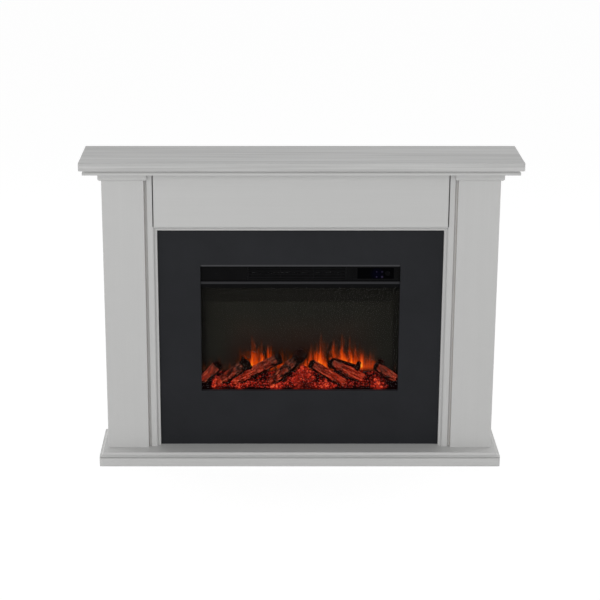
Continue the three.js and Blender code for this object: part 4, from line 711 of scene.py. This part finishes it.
def grown_log(foot, reach, radius, mesh, plan, seed, depth):
    """A knotty log with furrows, a flared head and broken ends, laid from its foot along its
    reach."""
    length = reach.length
    bm = upright_log(length, radius, *mesh)
    at = bm.verts.layers.float_vector.new("bark_place")
    soot = bm.verts.layers.float.new("soot")
    heat = bm.verts.layers.float.new("warmth")
    foot_heat, head_heat = plan.hot
    for vert in bm.verts:
        place = vert.co.copy()
        t = ramp(place.z, 0, length)
        out = Vector((place.x, place.y, 0))
        side = out.normalized() if out.length > 1e-9 else Vector((0, 0, 0))
        # Thickest in the middle, thinner at the head but for its flare.
        bow = FOOT_WIDTH + BELLY * math.sin(math.pi * t) - TAPER * t
        bow += plan.flare * ramp(t, *FLARE_SPAN) ** 2
        on_bark = Vector((side.x * radius, side.y * radius, place.z))
        knots = KNOT_DEPTH * rough(on_bark, KNOTS, seed)
        furrow = noise.turbulence(Vector((
            on_bark.x * FURROWS_AROUND, on_bark.y * FURROWS_AROUND,
            on_bark.z * FURROWS_ALONG + seed * 5)), 3, True)
        scale = bow + knots - depth / radius * (furrow - 0.5)
        vert.co.x = place.x * scale
        vert.co.y = place.y * scale
        if min(t, 1 - t) < END_SHARE:
            step = SPLINTER_DEPTH * radius * rough(place, SPLINTERS, seed + 2)
            step += FINE_SPLINTER_DEPTH * radius * rough(place, FINE_SPLINTERS, seed)
            dome = DOME * radius * (1 - (out.length / radius) ** 2)
            vert.co.z += (1 if t > 0.5 else -1) * (step + dome)
        vert[at] = place + Vector((seed * 0.5, 0, 0))
        vert[soot] = ramp(t, 1 - plan.char * 1.3, 1 - plan.char * 0.8) + plan.soot
        vert[heat] = foot_heat + (head_heat - foot_heat) * t
    turn = Vector((0, 0, 1)).rotation_difference(reach)
    laid = Matrix.Translation(foot) @ turn.to_matrix().to_4x4()
    bmesh.ops.transform(bm, matrix=laid, verts=bm.verts)
    bmesh.ops.recalc_face_normals(bm, faces=bm.faces)
    bm.normal_update()
    for vert in bm.verts:
        crest = ramp(vert.normal.z * 0.75 + vert.normal.y * 0.66, *CREST_SLOPE)
        # Painted shade: the glow is darkened where the log faces down.
        under = ramp(-vert.normal.z, *UNDERSIDE_SHADE_SLOPE)
        vert[soot] = max(vert[soot], crest * plan.crest, under)
    for face in bm.faces:
        face.smooth = True
    return bm


def gather(parts):
    """Puts several bmeshes into the first of them."""
    first, *others = parts
    for part in others:
        mesh = bpy.data.meshes.new("part")
        part.to_mesh(mesh)
        part.free()
        first.from_mesh(mesh)
        bpy.data.meshes.remove(mesh)
    return first


def make_log(index, plan, material):
    """Builds one log with its stubs in the fire."""
    settings = bpy.context.scene.fireplace_fire
    depth = settings.bark_depth
    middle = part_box("ember_bed")[0].y + plan.back * MM
    foot = Vector((plan.foot[0] * MM, middle, plan.foot[1] * MM))
    head = Vector((plan.head[0] * MM, middle + HEAD_LEAN * MM, plan.head[1] * MM))
    radius = plan.radius * MM
    seed = settings.seed + index
    parts = [grown_log(foot, head - foot, radius, LOG_MESH, plan, seed, depth)]
    for stub in STUBS:
        if stub.log == index:
            way = Vector(stub.way).normalized()
            root = foot + (head - foot) * stub.at + way * radius * STUB_ROOT
            root.z += stub.lift * MM
            burnt = plan._replace(
                char=stub.char, flare=STUB_FLARE, hot=STUB_HEAT, soot=0, crest=1)
            parts.append(grown_log(root, way * stub.length * MM, stub.radius * MM, STUB_MESH,
                                   burnt, seed + STUB_SEED, depth / 2))
    piece(f"charred_log_{index}", gather(parts), material, f"log_{index}")


# Heaps of embers: place across, height and width in metres.
HEAPS = ((0.0115, 0.043, 0.027), (0.215, 0.005, 0.03), (-0.235, 0.006, 0.03))
# Where the bed glows most: place across, width in metres, strength.
HOT_SPOTS = (
    (-0.262, 0.022, 0.46), (-0.185, 0.024, 0.42), (-0.140, 0.02, 0.14), (-0.075, 0.022, 0.52),
    (-0.004, 0.022, 0.48), (0.034, 0.022, 0.42), (0.082, 0.026, 0.42), (0.130, 0.02, 0.12),
    (0.175, 0.03, 0.10), (0.246, 0.024, 0.48),
)
# Height of the bed's front edge, how much it rises to the back, and low waves across it: height,
# radians per metre and start.
BED_FRONT = 0.0085
BED_RISE = 0.043
BED_WAVES = ((0.0016, 71, 0), (0.0012, 163, 1))
# How far the coals stay behind the bed's front edge, in millimetres.
FRONT_GAP = 0.4
# Cells of the bed's mesh across and to the back, and the lumps in it.
BED_COLUMNS = 170
BED_ROWS = 16
LUMP_HEIGHT = 0.0022
LUMPS = 150  # per metre
# How warm the bed's front edge is. Then how much warmer it gets just behind and how much cooler
# further back, each with the shares of its depth where that starts and is full, and how much the
# hot spots fade towards the back.
EDGE_HEAT = 0.12
FRONT_HEAT = (0.14, 0.02, 0.12)
BACK_CHILL = (0.22, 0.3, 0.8)
BACK_FADE = 0.6
# How much cooler the bed is than the coals on it, how cold its ends are, and where they start and
# finish.
BED_COOLER = 0.18
END_CHILL = 0.7
COLD_ENDS = (0.272, 0.292)
# Radius of the coals as shares of their usual size, how far they stand out of the heap as shares
# of their radius, their height and depth as shares of their width, how much their corners are
# broken, how their heat varies, and how much hotter their tops are.
COAL_RADII = (0.3, 0.7)
COAL_LIFT = (-0.2, 0.5)
COAL_DEPTH = (0.6, 1)
COAL_HEIGHT = (0.5, 0.9)
COAL_CORNERS = 0.2
COAL_HEAT = (-0.28, 0.3)
TOP_HEAT = 0.14
# How much more coals gather in front. Beyond a distance from the middle some are dead: which
# share, how much larger and how much colder.
COAL_CROWDING = 1.2
DEAD_FROM = 0.28
DEAD_SHARE = 0.5
DEAD_SIZE = 1.9
DEAD_CHILL = 0.6


def bed_height(x, back):
    """How high the embers lie above the bed's foot, at a place across and a share from front to
    back."""
    height = BED_FRONT + BED_RISE * back**0.8
    for tall, rate, start in BED_WAVES:
        height += tall * math.sin(x * rate + start)
    for at, tall, wide in HEAPS:
        height += tall * math.sin(math.pi * back**0.7) * math.exp(-(((x - at) / wide) ** 2))
    return height


def bed_heat(x, back):
    """How much the embers glow, at a place across and a share from front to back."""
    warmer, *behind = FRONT_HEAT
    cooler, *beyond = BACK_CHILL
    heat = EDGE_HEAT + warmer * ramp(back, *behind) - cooler * ramp(back, *beyond)
    for at, wide, strength in HOT_SPOTS:
        heat += strength * math.exp(-(((x - at) / wide) ** 2)) * (1 - BACK_FADE * back)
    return heat - END_CHILL * ramp(abs(x), *COLD_ENDS)


# ------------------------------------------------------------------ operators

SENSOR_WIDTH = 36
CAMERA_SHIFT = (0.0543, 0.0016)
CAMERA_PLACE = (-0.1007, -5.2104, 2.1558)
CAMERA_TILT = 72.425
# Area lamps: name, place, what they point at, width, height, and which setting is their power.
LAMPS = (
    ("front_lamp", (-1.8, -9.0, 3.0), (0, 0, 0.5), 6.0, 5.0, "key_level"),
    ("left_lamp", (-3.2, 1.2, 1.0), (-0.62, 0, 0.4), 2.0, 1.6, "side_level"),
    ("right_lamp", (3.2, 1.2, 1.0), (0.62, 0, 0.4), 2.0, 1.6, "side_level"),
)
# The floor sheet's half width in metres, and how strongly and to what share it is white to the
# eye, which comes to white with what its paper reflects.
FLOOR_SIZE = 30
PAPER_WHITE = 1.12
PAPER_SHARE = 0.8


class FIREPLACE_OT_stage(bpy.types.Operator):
    """Floor, room light, lamps and camera"""

    bl_idname = "fireplace.stage"
    bl_label = "Stage"

    def execute(self, context):
        settings = context.scene.fireplace_stage
        self.set_camera(context, settings)
        self.light_room(context, settings)
        self.hang_lamps(context, settings)
        self.lay_floor(context, settings)
        return {"FINISHED"}

    def set_camera(self, context, settings):
        """Seen from in front, a little to the left and above."""
        camera = bpy.data.objects.new("camera", bpy.data.cameras.new("camera"))
        camera.data.lens = settings.lens
        camera.data.sensor_width = SENSOR_WIDTH
        camera.data.shift_x, camera.data.shift_y = CAMERA_SHIFT
        camera.data.clip_end = 100
        camera.location = CAMERA_PLACE
        camera.rotation_euler = (math.radians(CAMERA_TILT), 0, 0)
        context.scene.collection.objects.link(camera)
        context.scene.camera = camera

    def light_room(self, context, settings):
        """White to the eye and in reflections, softer as a light."""
        world = bpy.data.worlds.new("studio")
        world.use_nodes = True
        tree = world.node_tree
        tree.nodes.clear()
        lit = add(tree, "Background", {"Color": "#FFFFFF", "Strength": settings.sky_level})
        white = add(tree, "Background", {"Color": "#FFFFFF", "Strength": 1.0})
        mix = add(tree, "MixShader", {0: seen_directly(tree), 1: lit, 2: white})
        add(tree, "OutputWorld", {"Surface": mix})
        context.scene.world = world
        context.scene.view_settings.view_transform = "Standard"

    def hang_lamps(self, context, settings):
        """One broad soft lamp in front, above and to the left, and one beside and behind each
        end."""
        for name, place, target, width, height, power in LAMPS:
            lamp = bpy.data.objects.new(name, bpy.data.lights.new(name, "AREA"))
            lamp.data.shape = "RECTANGLE"
            lamp.data.size = width
            lamp.data.size_y = height
            lamp.data.energy = getattr(settings, power)
            lamp.location = place
            aim = Vector(target) - Vector(place)
            lamp.rotation_euler = aim.to_track_quat("-Z", "Y").to_euler()
            lamp.visible_camera = False
            context.scene.collection.objects.link(lamp)

    def lay_floor(self, context, settings):
        """A matt white sheet that keeps a soft shadow and is otherwise as white as the room."""
        material, tree = blank("matt_white_backdrop_paper")
        paper = add(tree, "BsdfDiffuse", {"Color": settings.floor_colour})
        white = add(tree, "Emission", {"Color": "#FFFFFF", "Strength": PAPER_WHITE})
        share = add(tree, "Math", {0: seen_directly(tree), 1: PAPER_SHARE}, operation="MULTIPLY")
        mix = add(tree, "MixShader", {0: share, 1: paper, 2: white})
        add(tree, "OutputMaterial", {"Surface": mix})
        bm = bmesh.new()
        bmesh.ops.create_grid(bm, x_segments=1, y_segments=1, size=FLOOR_SIZE)
        mesh = bpy.data.meshes.new("floor")
        bm.to_mesh(mesh)
        bm.free()
        mesh.materials.append(material)
        floor = bpy.data.objects.new("floor", mesh)
        context.scene.collection.objects.link(floor)


class FIREPLACE_OT_white_boards(bpy.types.Operator):
    """White lacquer on shelf, header, legs, mouldings and plinth"""

    bl_idname = "fireplace.white_boards"
    bl_label = "White boards"

    def execute(self, context):
        for axis, grain, pores, nodes in WHITE_BOARDS:
            name = f"satin_lacquer_on_{pores}_oak_along_{axis.lower()}"
            dress(nodes, name, painted_oak, axis, grain)
        return {"FINISHED"}


class FIREPLACE_OT_dark_panel(bpy.types.Operator):
    """Charcoal paint on the panel round the insert"""

    bl_idname = "fireplace.dark_panel"
    bl_label = "Dark panel"

    def execute(self, context):
        dress(["infill_panel"], "matt_charcoal_paint_on_fibreboard", charcoal_board)
        return {"FINISHED"}


class FIREPLACE_OT_raw_boards(bpy.types.Operator):
    """Bare fibreboard on the pieces that aren't seen from the front"""

    bl_idname = "fireplace.raw_boards"
    bl_label = "Raw boards"

    def execute(self, context):
        dress(RAW_BOARDS, "sanded_fibreboard", fibreboard)
        return {"FINISHED"}


class FIREPLACE_OT_insert_front(bpy.types.Operator):
    """Glass, fascia, outlet grille, display bezel and trims"""

    bl_idname = "fireplace.insert_front"
    bl_label = "Insert front"

    def execute(self, context):
        settings = context.scene.fireplace_insert
        dress(["front_glass"], "coated_toughened_glass", fire_glass)
        for node, name, colour, specular, roughness in (
            ("fascia", "textured_black_abs", settings.plastic, 0.03, 0.45),
            # Painted light: the grille's black is drawn lighter than the fascia's.
            ("outlet_grille", "black_glass_filled_nylon", settings.grille, 0.03, 0.5),
            ("display_bezel", "satin_black_abs", settings.plastic, 0.035, 0.25),
        ):
            dress([node], name, moulded_plastic, colour, specular, roughness)
        dress(["top_trim"], "grey_anodised_aluminium", brushed_metal, settings.trim, "X", 0.36)
        # Painted shade: the lower trim is the top trim's aluminium drawn darker.
        dress(["lower_trim"], "dark_grey_anodised_aluminium", brushed_metal, settings.shaded_low_trim,
              "X", 0.36)
        return {"FINISHED"}


class FIREPLACE_OT_display(bpy.types.Operator):
    """Lit display window and its round button"""

    bl_idname = "fireplace.display"
    bl_label = "Display"

    def execute(self, context):
        dress(["display_window"], "polished_black_acrylic_lit_from_behind", display_acrylic)
        dress(["power_button"], "polished_black_abs", moulded_plastic, linear("#040406"), 0.03,
              0.2)
        return {"FINISHED"}


class FIREPLACE_OT_casing(bpy.types.Operator):
    """Steel casing, divider tray, cable gland"""

    bl_idname = "fireplace.casing"
    bl_label = "Casing"

    def execute(self, context):
        sides = ("bottom", "top", "left", "right", "back")
        dress(["casing_" + side for side in sides] + ["blower_housing"],
              "black_powder_coat_on_steel", powder_coat)
        dress(["heater_tray"], "galvanised_sheet_steel", galvanised_steel)
        dress(["cable_gland", "rotor_bearing"], "black_nylon", moulded_plastic,
              linear("#131314"), 0.5, 0.42)
        return {"FINISHED"}


class FIREPLACE_OT_works(bpy.types.Operator):
    """Motors, impeller, rotor, element, control board and lamps"""

    bl_idname = "fireplace.works"
    bl_label = "Works"

    def execute(self, context):
        dress(["control_board", "light_strip"], "lacquered_circuit_laminate", circuit_laminate)
        dress(["blower_impeller", "flame_rotor"], "bright_rolled_aluminium", brushed_metal,
              linear("#D5D7D9"), "X", 0.26)
        dress(["blower_motor", "rotor_motor"], "zinc_plated_drawn_steel", brushed_metal,
              linear("#9C9FA3"), "X", 0.38)
        dress(["heating_element"], "unglazed_black_steatite", heater_ceramic)
        return {"FINISHED"}


class FIREPLACE_OT_flame_screen(bpy.types.Operator):
    """Smoked screen with the flames on it"""

    bl_idname = "fireplace.flame_screen"
    bl_label = "Flame screen"

    def execute(self, context):
        dress(["flame_screen"], "smoked_polycarbonate_with_flames", flame_sheet)
        return {"FINISHED"}


class FIREPLACE_OT_logs(bpy.types.Operator):
    """Seven charred logs lit from inside"""

    bl_idname = "fireplace.logs"
    bl_label = "Logs"

    def execute(self, context):
        material = made_of("painted_translucent_resin_bark", log_finish, mapped_by="bark_place")
        for index, plan in enumerate(LOGS, 1):
            make_log(index, plan, material)
        return {"FINISHED"}


class FIREPLACE_OT_ember_bed(bpy.types.Operator):
    """Heaped embers with loose coals"""

    bl_idname = "fireplace.ember_bed"
    bl_label = "Ember bed"

    def execute(self, context):
        settings = context.scene.fireplace_fire
        low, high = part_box("ember_bed")
        bm = bmesh.new()
        heat = bm.verts.layers.float.new("warmth")
        bmesh.ops.create_grid(bm, x_segments=BED_COLUMNS, y_segments=BED_ROWS, size=0.5)
        width, depth = high.x - low.x, high.y - low.y
        for vert in bm.verts:
            back = vert.co.y + 0.5
            x = low.x + (vert.co.x + 0.5) * width
            y = low.y + back * depth
            lump = LUMP_HEIGHT * rough(Vector((x, y, 0)), LUMPS, settings.seed)
            vert.co = (x, y, low.z + bed_height(x, back) + lump)
            vert[heat] = bed_heat(x, back) - BED_COOLER
        rim = [e for e in bm.edges if e.is_boundary]
        for item in bmesh.ops.extrude_edge_only(bm, edges=rim)["geom"]:
            if isinstance(item, bmesh.types.BMVert):
                item.co.z = low.z
                item[heat] = 0.0
        bmesh.ops.holes_fill(bm, edges=[e for e in bm.edges if e.is_boundary])
        bmesh.ops.recalc_face_normals(bm, faces=bm.faces)
        self.scatter_coals(bm, low, high, heat, settings)
        for face in bm.faces:
            face.smooth = True
        material = made_of("translucent_resin_embers", ember_finish)
        piece("heaped_embers", bm, material, "ember_bed")
        return {"FINISHED"}

    def scatter_coals(self, bm, low, high, heat, settings):
        """Small broken coals on the heap, each with its own size, turn and heat, and larger dead
        ones among them at both ends."""
        chance = random.Random(settings.seed)
        for _ in range(settings.coals):
            size = settings.coal_size * chance.uniform(*COAL_RADII)
            x = chance.uniform(low.x + size, high.x - size)
            back = chance.uniform(0, 1) ** COAL_CROWDING
            dead = abs(x) > DEAD_FROM and chance.random() < DEAD_SHARE
            if dead:
                size *= DEAD_SIZE
            y = min(max(low.y + back * (high.y - low.y), low.y + size), high.y - size)
            back = (y - low.y) / (high.y - low.y)
            z = low.z + bed_height(x, back) + chance.uniform(*COAL_LIFT) * size
            angle = chance.uniform(0, 6.28)
            axis = Vector((
                chance.uniform(-1, 1), chance.uniform(-1, 1), chance.uniform(0.2, 1)))
            turn = Matrix.Rotation(angle, 4, axis.normalized())
            shape = (1, chance.uniform(*COAL_DEPTH), chance.uniform(*COAL_HEIGHT), 1)
            made = bmesh.ops.create_icosphere(
                bm, subdivisions=1, radius=size,
                matrix=Matrix.Translation((x, y, z)) @ turn @ Matrix.Diagonal(shape))
            hot = bed_heat(x, back) + chance.uniform(*COAL_HEAT) - (DEAD_CHILL if dead else 0)
            for vert in made["verts"]:
                vert.co += Vector([
                    chance.uniform(-COAL_CORNERS, COAL_CORNERS) * size for _ in range(3)])
                vert.co.y = min(max(vert.co.y, low.y + FRONT_GAP * MM), high.y)
                vert[heat] = hot + TOP_HEAT * (vert.co.z - z) / size


# Screws along the top and bottom of the casing's back: places as shares of its width, and
# distance from its edge. Then a screw's head: radius at the plate and at the crown, height, width
# of the rim round its recess, and depth of the recess.
SCREW_PLACES = (0.06, 0.36, 0.64, 0.94)
SCREW_MARGIN = 0.011
HEAD_RADIUS = 0.0042
CROWN_RADIUS = 0.0036
HEAD_HEIGHT = 0.0022
RECESS_RIM = 0.0019
RECESS_DEPTH = 0.0011


class FIREPLACE_OT_fixings(bpy.types.Operator):
    """Screws that hold the casing and its back"""

    bl_idname = "fireplace.fixings"
    bl_label = "Fixings"

    def execute(self, context):
        low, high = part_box("casing_back")
        bm = bmesh.new()
        for share in SCREW_PLACES:
            x = low.x + share * (high.x - low.x)
            for z in (low.z + SCREW_MARGIN, high.z - SCREW_MARGIN):
                self.drive(bm, Vector((x, high.y, z)))
        material = made_of("zinc_plated_screws", brushed_metal, linear("#A9ACAE"), "Z", 0.3)
        piece("casing_screws", bm, material)
        return {"FINISHED"}

    def drive(self, bm, place):
        """A pan-head screw with a round recess, driven in along -Y."""
        head = bmesh.ops.create_cone(
            bm, cap_ends=True, cap_tris=False, segments=20, radius1=HEAD_RADIUS,
            radius2=CROWN_RADIUS, depth=HEAD_HEIGHT)["verts"]
        faces = list({f for v in head for f in v.link_faces})
        outer = [f for f in faces if len(f.verts) > 4 and f.calc_center_median().z > 0]
        ring = bmesh.ops.inset_region(bm, faces=outer, thickness=RECESS_RIM, use_even_offset=True)
        bmesh.ops.translate(bm, verts=list({v for f in outer for v in f.verts}),
                            vec=(0, 0, -RECESS_DEPTH))
        every = list({v for f in faces + outer + ring["faces"] for v in f.verts})
        seat = Matrix.Translation(place + Vector((0, HEAD_HEIGHT / 2, 0)))
        turn = Matrix.Rotation(-math.pi / 2, 4, "X")
        bmesh.ops.transform(bm, matrix=seat @ turn, verts=every)


class FIREPLACE_PT_sidebar(bpy.types.Panel):
    """Lists every step and its settings"""

    bl_idname = "FIREPLACE_PT_sidebar"
    bl_label = "Electric fireplace"
    bl_space_type = "VIEW_3D"
    bl_region_type = "UI"
    bl_category = "Fireplace"

    def draw(self, context):
        scene = context.scene
        for group in GROUPS:
            box = self.layout.box()
            settings = getattr(scene, group)
            for name in settings.__annotations__:
                box.prop(settings, name)
        for step in STEPS:
            self.layout.operator(step.bl_idname)


GROUPS = {
    "fireplace_stage": StageSettings,
    "fireplace_boards": BoardSettings,
    "fireplace_insert": InsertSettings,
    "fireplace_fire": FireSettings,
}
STEPS = (
    FIREPLACE_OT_stage, FIREPLACE_OT_white_boards, FIREPLACE_OT_dark_panel,
    FIREPLACE_OT_raw_boards, FIREPLACE_OT_insert_front, FIREPLACE_OT_display,
    FIREPLACE_OT_casing, FIREPLACE_OT_works, FIREPLACE_OT_flame_screen, FIREPLACE_OT_logs,
    FIREPLACE_OT_ember_bed, FIREPLACE_OT_fixings,
)


def register():
    for name, group in GROUPS.items():
        bpy.utils.register_class(group)
        setattr(bpy.types.Scene, name, PointerProperty(type=group))
    for item in (*STEPS, FIREPLACE_PT_sidebar):
        bpy.utils.register_class(item)


def unregister():
    for item in (FIREPLACE_PT_sidebar, *reversed(STEPS)):
        bpy.utils.unregister_class(item)
    for name, group in GROUPS.items():
        delattr(bpy.types.Scene, name)
        bpy.utils.unregister_class(group)


def main():
    """Runs every step in order."""
    register()
    for step in STEPS:
        area, name = step.bl_idname.split(".")
        getattr(getattr(bpy.ops, area), name)()


if __name__ == "__main__":
    main()
